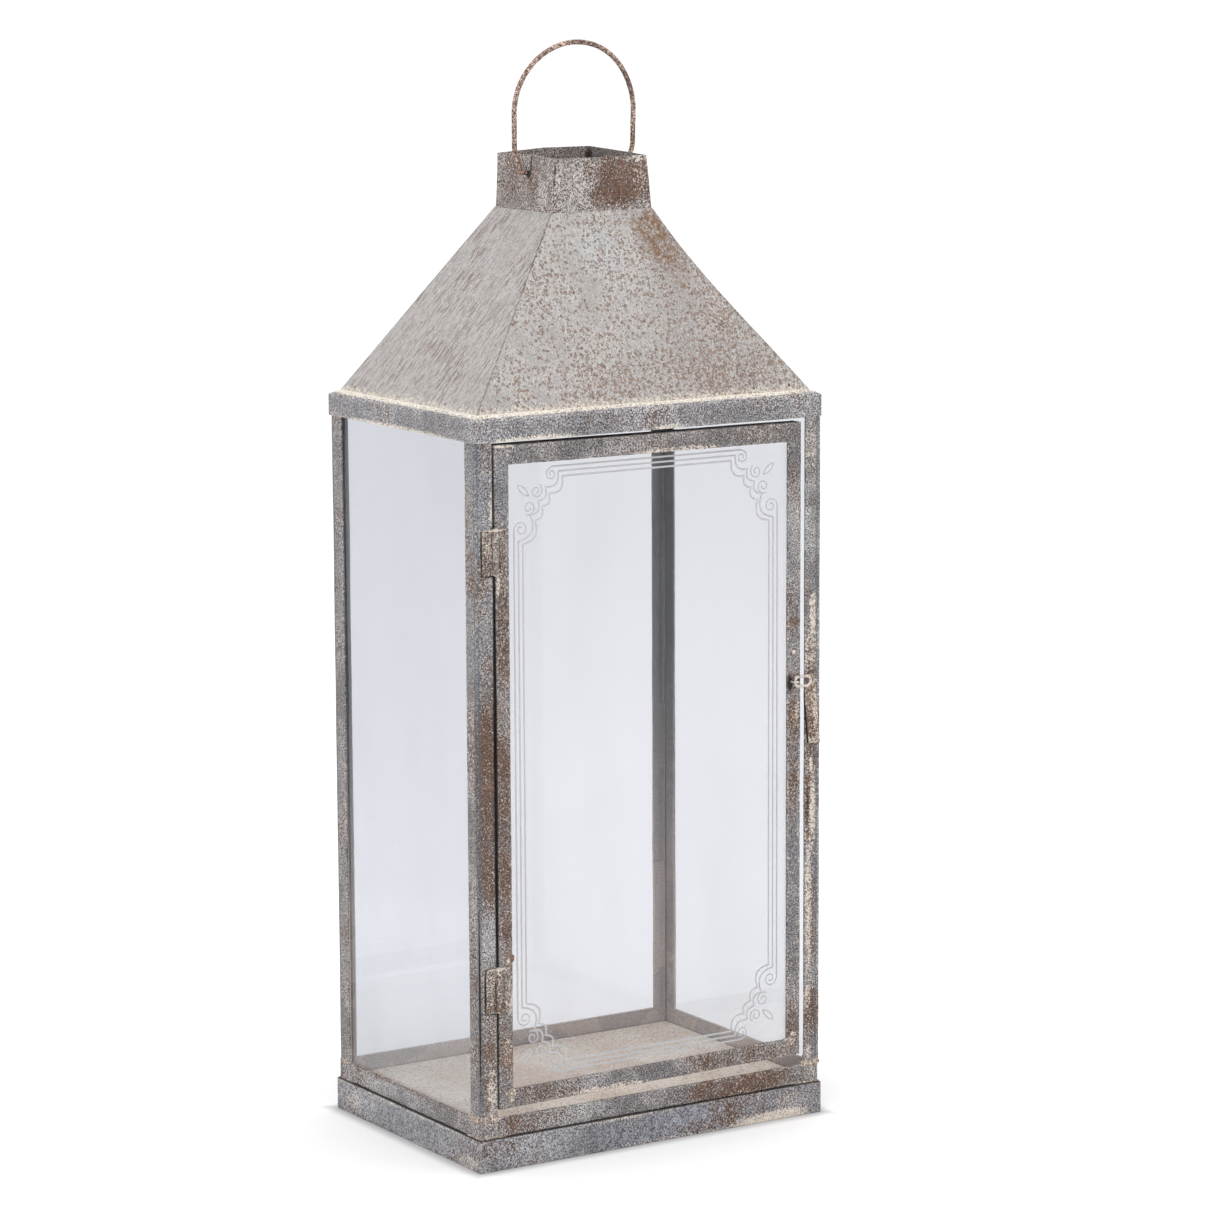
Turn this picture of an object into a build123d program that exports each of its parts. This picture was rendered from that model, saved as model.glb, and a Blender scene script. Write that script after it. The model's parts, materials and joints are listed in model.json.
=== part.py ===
from build123d import *
import math
import os

# Candle lantern, in millimetres. +Z is up, the door faces -Y and its hinges are on the -X side.
# The origin is the centre of the plinth's underside.

# --- frame of steel angle ---
frame_width = 247.0
frame_depth = 173.0
post_length = 410.1
angle_leg = 12.0
latch_post_leg = 10.1
angle_wall = 1.5
angle_corner_radius = 0.8
lower_rail_height = 12.4
upper_rail_height = 12.2

# --- plinth and floor ---
plinth_height = 20.0
plinth_overhang_x = 1.5
plinth_overhang_y = 1.75
plinth_wall = 1.5
plinth_flange = 14.0
floor_sheet = 1.0
floor_clearance = 0.3

# --- roof ---
roof_sheet = 1.0
roof_rise = 112.0
ledge_width = 5.5
ledge_rise = 2.8
ledge_seat = 3.5
band_edge_radius = 0.9
nail_hole_diameter = 1.6
nail_hole_up_slope = 3.5
nail_hole_offsets = (14.0, 40.0)

# --- chimney collar ---
neck_width = 72.6
neck_depth = 66.0
collar_height = 34.0
collar_taper_x = 3.7
collar_sheet = 1.0

# --- bail ---
bail_wire = 3.2
bail_axis_rise = 22.7
bail_side_gap = 9.0
bail_leg_length = 35.0
bail_bend_radius = 4.0
bail_hook_inset = 5.0
bail_hook_height = 7.0
bail_clearance = 0.08

# --- glass and its tabs ---
glass_thickness = 2.0
glass_clearance = 0.4
tab_sheet = 0.8
tab_width = 8.0
tab_foot = 5.0
tab_finger = 4.0

# --- door ---
door_gap_hinge_side = 1.3
door_gap_latch_side = 3.3
door_gap_top = 2.6
door_gap_bottom = 5.9
stile_width = 10.0
door_top_rail_width = 11.9
door_bottom_rail_width = 11.3
door_angle_depth = 10.0
door_wall = 1.5

# --- hinges ---
hinge_height = 27.0
hinge_knuckle_diameter = 3.8
hinge_pin_diameter = 2.0
hinge_axis_standoff = 2.0
hinge_leaf_sheet = 1.2
hinge_leaf_width = 8.2
hinge_end_play = 0.15
hinge_pin_clearance = 0.05
hinge_side_clearance = 0.3
upper_hinge_drop = 62.9
lower_hinge_rise = 73.0
pin_head_height = 0.8
pin_head_diameter = 3.4
rivet_shank = 1.5
rivet_head = 3.0
rivet_head_height = 0.6
rivet_reach = 4.6
rivet_spread = 16.0
rivet_clearance = 0.02

# --- latch ---
latch_rise = 239.6
staple_inset = 5.5
loop_wire = 1.8
loop_height = 7.8
loop_corner_radius = 2.2
loop_standoff = 2.45
loop_overlap = 2.6
staple_wire = 1.2
staple_clearance = 0.1
staple_leg_clearance = 0.05
tongue_width = 7.2
tongue_sheet = 1.2
tongue_inset = 2.2
tongue_above_loop = 3.6
tongue_fixed_length = 16.0
tongue_free_length = 26.7
tongue_standoff = 4.0
tongue_bend_radius = 6.0

# --- levels and faces that follow from the sizes above ---
floor_level = plinth_height + angle_wall + floor_sheet
post_foot = plinth_height + lower_rail_height
post_top = post_foot + post_length
upper_rail_top = post_top + upper_rail_height
roof_foot = upper_rail_top + roof_sheet + ledge_rise
neck_level = roof_foot + roof_rise
rim_level = neck_level + collar_height
front_face = -frame_depth / 2
roof_foot_half_width = frame_width / 2 + roof_sheet - ledge_width
roof_foot_half_depth = frame_depth / 2 + roof_sheet - ledge_width

door_left = -frame_width / 2 + angle_leg + door_gap_hinge_side
door_right = frame_width / 2 - latch_post_leg - door_gap_latch_side
door_bottom = post_foot + door_gap_bottom
door_top = post_top - door_gap_top
hinge_axis_x = door_left - door_gap_hinge_side / 2
hinge_axis_y = front_face - hinge_axis_standoff
hinge_centres = {
    "upper": door_top - upper_hinge_drop,
    "lower": door_bottom + lower_hinge_rise,
}

bail_axis_level = neck_level + bail_axis_rise
collar_half_at_axis = neck_width / 2 - collar_taper_x * bail_axis_rise / collar_height
bail_half_span = collar_half_at_axis + bail_side_gap

tongue_right = frame_width / 2 - tongue_inset
tongue_left = tongue_right - tongue_width
latch_level = door_bottom + latch_rise
loop_axis_x = door_right - staple_inset
loop_axis_y = front_face - loop_standoff

door_rivet_x = hinge_axis_x + rivet_reach
post_rivet_x = hinge_axis_x - rivet_reach


def block(x0, x1, y0, y1, z0, z1):
    """A box given by its lowest and highest coordinates."""
    centre = ((x0 + x1) / 2, (y0 + y1) / 2, (z0 + z1) / 2)
    return Pos(*centre) * Box(abs(x1 - x0), abs(y1 - y0), abs(z1 - z0))


def rod(start, end, diameter):
    """A round bar between two points."""
    axis = Vector(*end) - Vector(*start)
    return extrude(Plane(origin=start, z_dir=axis) * Circle(diameter / 2), amount=axis.length)


def wire_along(path, diameter):
    """A round wire whose centre follows a path."""
    return sweep(Plane(origin=path @ 0, z_dir=path % 0) * Circle(diameter / 2), path=path)


def rounded(section, corner, radius):
    """The section with the vertex nearest to a point rounded off."""
    vertex = section.vertices().sort_by_distance(corner)[0]
    return fillet(vertex, radius)


def four_sides(section, width, depth):
    """Four strips round a rectangle, mitred at its corners.

    The section is drawn looking along the strip: x is 0 on the rectangle's outer face and
    negative inwards, and y is the height.
    """
    def mitred(length, half_depth):
        plane = Plane(origin=(length / 2, -half_depth, 0), x_dir=(0, -1, 0), z_dir=(-1, 0, 0))
        strip = extrude(plane * section, amount=length)
        low, high = section.bounding_box().min, section.bounding_box().max
        reach = 1 - low.X
        outline = Polygon(
            (-length / 2 - 1, -half_depth - 1),
            (length / 2 + 1, -half_depth - 1),
            (length / 2 - reach, -half_depth + reach),
            (-length / 2 + reach, -half_depth + reach),
            align=None,
        )
        return strip & extrude(Pos(0, 0, low.Y - 1) * outline, amount=high.Y - low.Y + 2)

    long_side = mitred(width, depth / 2)
    short_side = mitred(depth, width / 2)
    return {
        "front": long_side,
        "back": Rot(0, 0, 180) * long_side,
        "left": Rot(0, 0, -90) * short_side,
        "right": Rot(0, 0, 90) * short_side,
    }


def angle_profile(height, flange, wall, level, flange_on_top):
    """An L: an upright leg on the outer face with a flange at its top or bottom, inwards."""
    upright = Pos(-wall / 2, level + height / 2) * Rectangle(wall, height)
    flange_level = level + height - wall / 2 if flange_on_top else level + wall / 2
    outline = upright + Pos(-flange / 2, flange_level) * Rectangle(flange, wall)
    corner = (0, level + height) if flange_on_top else (0, level)
    return rounded(outline, corner, min(angle_corner_radius, 0.5 * wall))


def plinth_strips():
    section = angle_profile(plinth_height, plinth_flange, plinth_wall, 0, True)
    width = frame_width + 2 * plinth_overhang_x
    return four_sides(section, width, frame_depth + 2 * plinth_overhang_y)


def lower_rails():
    section = angle_profile(lower_rail_height, angle_leg, angle_wall, plinth_height, False)
    return four_sides(section, frame_width, frame_depth)


def upper_rails():
    section = angle_profile(upper_rail_height, angle_leg, angle_wall, post_top, True)
    return four_sides(section, frame_width, frame_depth)


def roof_band_strips():
    """The roof's rim: a skirt over the upper rails, a sloping ledge and a flat seat."""
    sheet = roof_sheet
    ledge_end = -ledge_width
    outline = Polygon(
        (0, post_top),
        (0, upper_rail_top + sheet),
        (ledge_end, roof_foot),
        (ledge_end - ledge_seat, roof_foot),
        (ledge_end - ledge_seat, roof_foot - sheet),
        (ledge_end, roof_foot - sheet),
        (-sheet, upper_rail_top),
        (-sheet, post_top),
        align=None,
    )
    section = rounded(outline, (0, upper_rail_top + sheet), min(band_edge_radius, 0.9 * sheet))
    return four_sides(section, frame_width + 2 * sheet, frame_depth + 2 * sheet)


def corner_posts():
    """L-section posts that stand on the lower rails and carry the upper ones.

    The front leg of the latch-side post is narrower than the others.
    """
    def front_left_post(front_leg):
        section = Pos(front_leg / 2, angle_wall / 2) * Rectangle(front_leg, angle_wall)
        section += Pos(angle_wall / 2, angle_leg / 2) * Rectangle(angle_wall, angle_leg)
        section = rounded(section, (0, 0), min(angle_corner_radius, 0.5 * angle_wall))
        place = Pos(-frame_width / 2, front_face, post_foot)
        return place * extrude(section, amount=post_length)

    post = front_left_post(angle_leg)
    back_left = mirror(post, about=Plane.XZ)
    return {
        "front_left": post - rivet_holes(post_rivet_x),
        "front_right": mirror(front_left_post(latch_post_leg), about=Plane.YZ),
        "back_left": back_left,
        "back_right": mirror(back_left, about=Plane.YZ),
    }


def floor_plate():
    """A sheet on the lower rails whose left, right and back edges hold the panes' feet out."""
    x = frame_width / 2 - angle_wall - glass_thickness - floor_clearance
    front = frame_depth / 2 - angle_wall - floor_clearance
    back = front - glass_thickness
    return block(-x, x, -front, back, floor_level - floor_sheet, floor_level)


def roof_panels():
    """Four sloping sheets mitred at the hips, with nail holes along their feet."""
    run_x = roof_foot_half_width - neck_width / 2
    run_y = roof_foot_half_depth - neck_depth / 2
    inset_x = roof_sheet * math.hypot(run_x, roof_rise) / roof_rise
    inset_y = roof_sheet * math.hypot(run_y, roof_rise) / roof_rise

    def corners(sign_x, sign_y):
        foot = (roof_foot_half_width, roof_foot_half_depth, roof_foot)
        neck = (neck_width / 2, neck_depth / 2, neck_level)
        return [
            (sign_x * (x - inset_x * inner), sign_y * (y - inset_y * inner), z)
            for x, y, z in (foot, neck)
            for inner in (0, 1)
        ]

    ends = {
        "front": ((-1, -1), (1, -1)),
        "back": ((-1, 1), (1, 1)),
        "left": ((-1, -1), (-1, 1)),
        "right": ((1, -1), (1, 1)),
    }
    panels = {}
    for side, (one, other) in ends.items():
        sheet = ConvexPolyhedron(corners(*one) + corners(*other))
        panels[side] = sheet - nail_holes(side, run_x, run_y)
    return panels


def nail_holes(side, run_x, run_y):
    """Small holes through a roof sheet near both ends of its foot."""
    facing_y = side in ("front", "back")
    run = run_y if facing_y else run_x
    half_depth = roof_foot_half_depth if facing_y else roof_foot_half_width
    half_length = roof_foot_half_width if facing_y else roof_foot_half_depth
    slope = math.hypot(run, roof_rise)
    outward = half_depth - nail_hole_up_slope * run / slope
    level = roof_foot + nail_hole_up_slope * roof_rise / slope
    normal = Vector(0, -roof_rise / slope, run / slope)
    turn = {"front": 0, "right": 90, "back": 180, "left": -90}[side]
    drills = []
    for offset in nail_hole_offsets:
        for end in (-1, 1):
            centre = Vector(end * (half_length - offset), -outward, level)
            drills.append(rod(centre - normal * 3, centre + normal * 3, nail_hole_diameter))
    return [Rot(0, 0, turn) * drill for drill in drills]


def chimney_collar():
    """One sheet bent round the neck into a slightly tapered sleeve with holes for the bail."""
    half_x, half_y = neck_width / 2, neck_depth / 2
    rim_x = half_x - collar_taper_x

    def tapered(inset):
        corners = [
            (sx * (x - inset), sy * (half_y - inset), z)
            for x, z in ((half_x, neck_level), (rim_x, rim_level))
            for sx in (-1, 1)
            for sy in (-1, 1)
        ]
        return ConvexPolyhedron(corners)

    span = (2 * half_x, 0, 0)
    level = (0, 0, bail_axis_level)
    start, end = Vector(*level) - Vector(*span), Vector(*level) + Vector(*span)
    hole = rod(tuple(start), tuple(end), bail_wire + 2 * bail_clearance)
    return tapered(0) - tapered(collar_sheet) - hole


def bail_handle():
    """A round wire: a half circle on two legs, whose ends turn in through the collar and up."""
    half = bail_half_span
    inner = collar_half_at_axis - bail_hook_inset
    axis = bail_axis_level
    bow_level = axis + bail_leg_length
    bend = bail_bend_radius
    hook_bend = bail_wire * 0.75
    hook_top = axis + bail_hook_height
    right = FilletPolyline(
        (inner, 0, hook_top),
        (inner, 0, axis),
        (half, 0, axis),
        (half, 0, bow_level),
        radius=[hook_bend, bend],
    )
    left = FilletPolyline(
        (-half, 0, bow_level),
        (-half, 0, axis),
        (-inner, 0, axis),
        (-inner, 0, hook_top),
        radius=[bend, hook_bend],
    )
    bow = ThreePointArc((half, 0, bow_level), (0, 0, bow_level + half), (-half, 0, bow_level))
    return wire_along(Wire(right.edges() + bow.edges() + left.edges()), bail_wire)


def fixed_panes():
    """Panes on the lower rails: two fill the depth, and the back one fits between them."""
    low = plinth_height + angle_wall
    high = upper_rail_top - angle_wall - glass_clearance
    outer_x = frame_width / 2 - angle_wall
    inner_x = outer_x - glass_thickness
    side_y = frame_depth / 2 - angle_wall - glass_clearance
    back_x = inner_x - glass_clearance
    back_y = frame_depth / 2 - angle_wall
    return {
        "left": block(-outer_x, -inner_x, -side_y, side_y, low, high),
        "right": block(inner_x, outer_x, -side_y, side_y, low, high),
        "back": block(-back_x, back_x, back_y - glass_thickness, back_y, low, high),
    }


def pane_tabs():
    """Bent tabs under the upper rails whose fingers hold the fixed panes' tops from inside."""
    under_rail = upper_rail_top - angle_wall
    half = tab_width / 2
    foot = block(-half, half, -tab_foot, 0, under_rail - tab_sheet, under_rail)
    finger = block(-half, half, -tab_sheet, 0, under_rail - tab_finger, under_rail)
    tab = foot + finger
    back_face = frame_depth / 2 - angle_wall - glass_thickness
    side_face = frame_width / 2 - angle_wall - glass_thickness

    def pair(spacing, distance, turn):
        return [Rot(0, 0, turn) * Pos(x, distance, 0) * tab for x in (-spacing / 2, spacing / 2)]

    return {
        "left": pair(frame_depth / 2, side_face, 90),
        "right": pair(frame_depth / 2, side_face, -90),
        "back": pair(frame_width / 2, back_face, 0),
    }


def door_stiles():
    """Upright angles at the door's two edges, over its full height."""
    y0, y1 = front_face, front_face + door_wall
    depth = front_face + door_angle_depth
    left = block(door_left, door_left + stile_width, y0, y1, door_bottom, door_top)
    left += block(door_left, door_left + door_wall, y0, depth, door_bottom, door_top)
    right = block(door_right - stile_width, door_right, y0, y1, door_bottom, door_top)
    right += block(door_right - door_wall, door_right, y0, depth, door_bottom, door_top)
    return left - rivet_holes(door_rivet_x), right - staple_legs(staple_leg_clearance)


def door_rail(level, width, outward):
    """A rail between the stiles: its return leg is at the level given, the door's edge."""
    inner_left, inner_right = door_left + stile_width, door_right - stile_width
    face = block(inner_left, inner_right, front_face, front_face + door_wall,
                 level, level - outward * width)
    leg = block(door_left + door_wall, door_right - door_wall, front_face + door_wall,
                front_face + door_angle_depth, level, level - outward * door_wall)
    bridge = block(inner_left, inner_right, front_face, front_face + door_angle_depth,
                   level, level - outward * door_wall)
    return face + leg + bridge


def door_glass_edges():
    inset = door_wall + glass_clearance
    return door_left + inset, door_right - inset, door_bottom + inset, door_top - inset


def door_glass():
    left, right, bottom, top = door_glass_edges()
    face = front_face + door_wall
    return block(left, right, face, face + glass_thickness, bottom, top)


def door_glass_tabs():
    """Tabs on the stiles' return legs that hold the door glass from inside."""
    back_face = front_face + door_wall + glass_thickness
    levels = [door_bottom + (door_top - door_bottom) * share for share in (0.12, 0.5, 0.88)]
    tabs = []
    for level in levels:
        for side, wall in ((1, door_left + door_wall), (-1, door_right - door_wall)):
            low, high = level - tab_width / 2, level + tab_width / 2
            foot = block(wall, wall + side * tab_sheet, back_face, back_face + tab_foot, low, high)
            finger = block(wall, wall + side * (tab_finger + tab_sheet), back_face,
                           back_face + tab_sheet, low, high)
            tabs.append(foot + finger)
    return tabs


def hinge_knuckles(centre, owner):
    """The level ranges of one leaf's knuckles: two outer on the post, the middle on the door."""
    third = hinge_height / 6
    if owner == "door":
        return [(centre - third + hinge_end_play, centre + third - hinge_end_play)]
    return [(centre - 3 * third, centre - third), (centre + third, centre + 3 * third)]


def hinge_leaf(centre, owner):
    """A leaf flat on the frame with its share of the knuckles round the pin."""
    side = 1 if owner == "door" else -1
    pin = hinge_pin_diameter / 2
    radius = hinge_knuckle_diameter / 2
    low, high = centre - hinge_height / 2, centre + hinge_height / 2
    x, y = hinge_axis_x, hinge_axis_y
    start, end = x + side * radius / 2, x + side * hinge_leaf_width
    leaf = block(start, end, front_face - hinge_leaf_sheet, front_face, low, high)
    other = "post" if owner == "door" else "door"
    room = 2 * (radius + hinge_side_clearance)
    for z0, z1 in hinge_knuckles(centre, other):
        leaf -= rod((x, y, z0 - hinge_end_play), (x, y, z1 + hinge_end_play), room)
    for z0, z1 in hinge_knuckles(centre, owner):
        leaf += rod((x, y, z0), (x, y, z1), hinge_knuckle_diameter)
    play = hinge_pin_clearance if owner == "door" else rivet_clearance
    leaf -= rod((x, y, low - 1), (x, y, high + 1), 2 * (pin + play))
    return leaf - rivet_holes(door_rivet_x if owner == "door" else post_rivet_x)


def hinge_pin(centre):
    low, high = centre - hinge_height / 2, centre + hinge_height / 2
    x, y = hinge_axis_x, hinge_axis_y
    head = rod((x, y, high), (x, y, high + pin_head_height), pin_head_diameter)
    return rod((x, y, low), (x, y, high + pin_head_height), hinge_pin_diameter) + head


def rivet_places(x):
    """Where a hinge leaf's rivets stand, for both hinges."""
    return [
        (x, centre + offset)
        for centre in hinge_centres.values()
        for offset in (-rivet_spread / 2, rivet_spread / 2)
    ]


def rivet_holes(x):
    size = rivet_shank + 2 * rivet_clearance
    return [
        rod((px, front_face - 3, z), (px, front_face + 3, z), size)
        for px, z in rivet_places(x)
    ]


def rivets(x, wall):
    """Low round-headed rivets through a leaf and a wall, hammered flush behind it."""
    seat = front_face - hinge_leaf_sheet
    pieces = []
    for px, z in rivet_places(x):
        head = rod((px, seat - rivet_head_height, z), (px, seat, z), rivet_head)
        rim = head.edges().filter_by(GeomType.CIRCLE).sort_by(Axis.Y)[0]
        head = fillet(rim, rivet_head_height * 0.7)
        shank = rod((px, seat - rivet_head_height / 2, z), (px, front_face + wall, z), rivet_shank)
        pieces.append(head + shank)
    return pieces


def latch_tongue():
    """A strap flat on the post behind the loop, bent outwards towards its free lower end."""
    top = latch_level + tongue_above_loop
    bend = top - tongue_fixed_length
    foot = bend - tongue_free_length
    centre = FilletPolyline(
        (0, front_face - tongue_sheet / 2, top),
        (0, front_face - tongue_sheet / 2, bend),
        (0, front_face - tongue_standoff - tongue_sheet / 2, foot),
        radius=[tongue_bend_radius],
    )
    section = Plane(origin=centre @ 0, z_dir=centre % 0, x_dir=(1, 0, 0))
    strap = sweep(section * Rectangle(tongue_width, tongue_sheet), path=centre)
    return Pos((tongue_left + tongue_right) / 2, 0, 0) * strap


def latch_loop():
    """A closed ring of wire, straight where the staple holds it, that reaches over the tongue."""
    left = loop_axis_x
    right = tongue_left + loop_overlap - loop_wire / 2
    half = (loop_height - loop_wire) / 2
    low, high = latch_level - half, latch_level + half
    corner = loop_corner_radius
    far = half * 0.98
    y = loop_axis_y
    ring = FilletPolyline(
        (left, y, low), (left, y, high), (right, y, high), (right, y, low),
        radius=[corner, corner, far, far],
        close=True,
    )
    return wire_along(Wire(ring.edges()), loop_wire)


def staple_path():
    bend = loop_wire / 2 + staple_clearance + staple_wire / 2
    behind = front_face + door_wall
    legs = [loop_axis_x + side * bend for side in (-1, 1)]
    first = Line((legs[0], behind, latch_level), (legs[0], loop_axis_y, latch_level))
    bow = ThreePointArc(
        (legs[0], loop_axis_y, latch_level),
        (loop_axis_x, loop_axis_y - bend, latch_level),
        (legs[1], loop_axis_y, latch_level),
    )
    last = Line((legs[1], loop_axis_y, latch_level), (legs[1], behind, latch_level))
    return Wire([first, bow, last])


def latch_staple():
    """A bent wire whose legs go through the stile and are hammered flush behind it."""
    return wire_along(staple_path(), staple_wire)


def staple_legs(clearance):
    """The holes in the stile for the staple's legs."""
    bend = loop_wire / 2 + staple_clearance + staple_wire / 2
    return [
        rod((loop_axis_x + side * bend, front_face - 1, latch_level),
            (loop_axis_x + side * bend, front_face + door_wall + 1, latch_level),
            staple_wire + 2 * clearance)
        for side in (-1, 1)
    ]


def model():
    """Every node's name and its solid or group of solids."""
    nodes = {}
    for stem, sides in (
        ("plinth", plinth_strips()),
        ("lower_rail", lower_rails()),
        ("corner_post", corner_posts()),
        ("upper_rail", upper_rails()),
        ("roof_band", roof_band_strips()),
        ("roof_panel", roof_panels()),
        ("pane", fixed_panes()),
    ):
        for side, solid in sides.items():
            nodes[f"{stem}_{side}"] = solid
    for side, tabs in pane_tabs().items():
        nodes[f"pane_{side}_tabs"] = tabs
    nodes["floor_plate"] = floor_plate()
    nodes["chimney_collar"] = chimney_collar()
    nodes["bail_handle"] = bail_handle()
    nodes["door_stile_left"], nodes["door_stile_right"] = door_stiles()
    nodes["door_rail_top"] = door_rail(door_top, door_top_rail_width, 1)
    nodes["door_rail_bottom"] = door_rail(door_bottom, door_bottom_rail_width, -1)
    nodes["door_glass"] = door_glass()
    nodes["door_glass_tabs"] = door_glass_tabs()
    for place, centre in hinge_centres.items():
        nodes[f"{place}_hinge_post_leaf"] = hinge_leaf(centre, "post")
        nodes[f"{place}_hinge_door_leaf"] = hinge_leaf(centre, "door")
        nodes[f"{place}_hinge_pin"] = hinge_pin(centre)
    nodes["post_hinge_rivets"] = rivets(post_rivet_x, angle_wall)
    nodes["door_hinge_rivets"] = rivets(door_rivet_x, door_wall)
    nodes["latch_tongue"] = latch_tongue()
    nodes["latch_loop"] = latch_loop()
    nodes["latch_staple"] = latch_staple()
    return nodes


def export(nodes):
    os.makedirs("parts", exist_ok=True)
    for name, shape in nodes.items():
        pieces = shape if isinstance(shape, list) else [shape]
        solids = [solid for piece in pieces for solid in piece.solids()]
        whole = solids[0] if len(solids) == 1 else Compound(children=solids)
        whole.label = name
        export_step(whole, f"parts/{name}.step")


export(model())
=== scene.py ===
import itertools
import json
import math

import bmesh
import bpy
from mathutils import Matrix, Vector, noise


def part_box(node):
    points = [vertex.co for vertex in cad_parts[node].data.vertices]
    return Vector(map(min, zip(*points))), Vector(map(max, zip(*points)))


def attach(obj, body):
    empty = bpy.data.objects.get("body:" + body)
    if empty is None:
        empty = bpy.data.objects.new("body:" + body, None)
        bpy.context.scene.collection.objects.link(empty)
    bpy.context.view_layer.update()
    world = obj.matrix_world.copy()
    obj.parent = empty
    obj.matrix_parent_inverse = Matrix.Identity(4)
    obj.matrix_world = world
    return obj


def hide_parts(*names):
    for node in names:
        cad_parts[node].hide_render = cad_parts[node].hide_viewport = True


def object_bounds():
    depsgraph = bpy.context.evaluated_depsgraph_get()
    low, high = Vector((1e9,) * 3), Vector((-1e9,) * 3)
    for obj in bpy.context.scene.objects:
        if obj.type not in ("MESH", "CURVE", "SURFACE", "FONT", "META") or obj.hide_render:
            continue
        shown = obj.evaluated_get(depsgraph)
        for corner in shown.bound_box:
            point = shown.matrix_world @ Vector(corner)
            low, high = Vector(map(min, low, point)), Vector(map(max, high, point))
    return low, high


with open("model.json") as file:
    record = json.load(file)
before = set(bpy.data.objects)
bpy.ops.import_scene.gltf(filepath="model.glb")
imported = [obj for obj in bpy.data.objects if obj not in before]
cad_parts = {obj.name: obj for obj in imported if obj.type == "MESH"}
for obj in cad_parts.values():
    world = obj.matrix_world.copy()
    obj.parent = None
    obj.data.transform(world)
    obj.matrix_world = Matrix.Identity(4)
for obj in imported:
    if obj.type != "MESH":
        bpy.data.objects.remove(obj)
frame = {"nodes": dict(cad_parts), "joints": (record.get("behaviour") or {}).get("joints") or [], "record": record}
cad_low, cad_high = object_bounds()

# Unseeded, Blender's vector noise starts from the clock and the uneven walls differ from run to run.
noise.seed_set(7)

# Lengths are in metres, in the CAD frame: +Z up, the door faces -Y and is hinged on the -X side.
MM = 0.001
UP = Vector((0, 0, 1))


# --- places that follow from the CAD nodes ---

def span(node):
    """The lowest and highest corner of a CAD node."""
    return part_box(node)


post_low, post_high = span("corner_post_front_left")
latch_post_low = span("corner_post_front_right")[0]
rail_low, rail_high = span("lower_rail_front")
beam_low, beam_high = span("upper_rail_front")
band_low, band_high = span("roof_band_front")
plinth_low, plinth_high = span("plinth_front")
stile_low, stile_high = span("door_stile_left")
far_stile_high = span("door_stile_right")[1]
top_rail_low, top_rail_high = span("door_rail_top")
bottom_rail_low, bottom_rail_high = span("door_rail_bottom")
glass_high = span("door_glass")[1]
floor_low, floor_high = span("floor_plate")
collar_low, collar_high = span("chimney_collar")
roof_low, roof_high = span("roof_panel_front")
bail_high = span("bail_handle")[1]
bail_axis = next(j for j in frame["joints"] if j["name"] == "bail_swing")["pos_m"][2]

frame_half_width = -post_low.x
frame_half_depth = -post_low.y
front_face = post_low.y
neck_level = collar_low.z
rim_level = collar_high.z
neck_half_width = collar_high.x
neck_half_depth = collar_high.y
sheet_wall = 1.0 * MM
angle_wall = 1.5 * MM
angle_leg = 12.0 * MM
stile_width = 10.0 * MM
wire_radius = 1.6 * MM

# How pieces are drawn: the rounding of a cut edge and the spacing of rings along a strip.
CUT_EDGE = 0.35 * MM
STATION = 3.5 * MM


# --- camera, light and floor ---

def add_camera():
    """Stands in front of the lantern's hinge side, a little above its roof. Angles are in radians."""
    yaw, pitch, roll = -0.5660, 0.1636, -0.0047
    place = (-1.4472, -2.3142, 0.7729)
    level_right = Vector((math.cos(yaw), math.sin(yaw), 0))
    level_ahead = Vector((-math.sin(yaw), math.cos(yaw), 0))
    ahead = math.cos(pitch) * level_ahead - math.sin(pitch) * UP
    over = math.sin(pitch) * level_ahead + math.cos(pitch) * UP
    right = math.cos(roll) * level_right + math.sin(roll) * over
    top = -math.sin(roll) * level_right + math.cos(roll) * over
    data = bpy.data.cameras.new("camera")
    data.sensor_width = 36
    data.lens = 131.99
    data.clip_end = 200
    camera = bpy.data.objects.new("camera", data)
    bpy.context.scene.collection.objects.link(camera)
    turn = Matrix((right, top, -ahead)).transposed()
    camera.matrix_world = Matrix.Translation(place) @ turn.to_4x4()
    bpy.context.scene.camera = camera


def add_area_light(name, place, target, size, power):
    data = bpy.data.lights.new(name, "AREA")
    data.shape = "DISK"
    data.size = size
    data.energy = power
    light = bpy.data.objects.new(name, data)
    bpy.context.scene.collection.objects.link(light)
    light.location = place
    light.rotation_euler = (Vector(target) - Vector(place)).to_track_quat("-Z", "Y").to_euler()


def add_surroundings():
    """An even white studio: a bright world, a wide light overhead and a soft one at the left."""
    scene = bpy.context.scene
    scene.view_settings.view_transform = "Standard"
    scene.view_settings.look = "None"
    world = bpy.data.worlds.new("studio")
    world.use_nodes = True
    background = world.node_tree.nodes["Background"]
    background.inputs["Color"].default_value = (1, 1, 1, 1)
    background.inputs["Strength"].default_value = 1.12
    scene.world = world
    add_area_light("overhead", (0.1, -0.3, 2.4), (0, 0, 0.3), 1.8, 14)
    add_area_light("side_light", (-1.9, -1.7, 1.5), (0, 0, 0.3), 1.2, 7)


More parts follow.
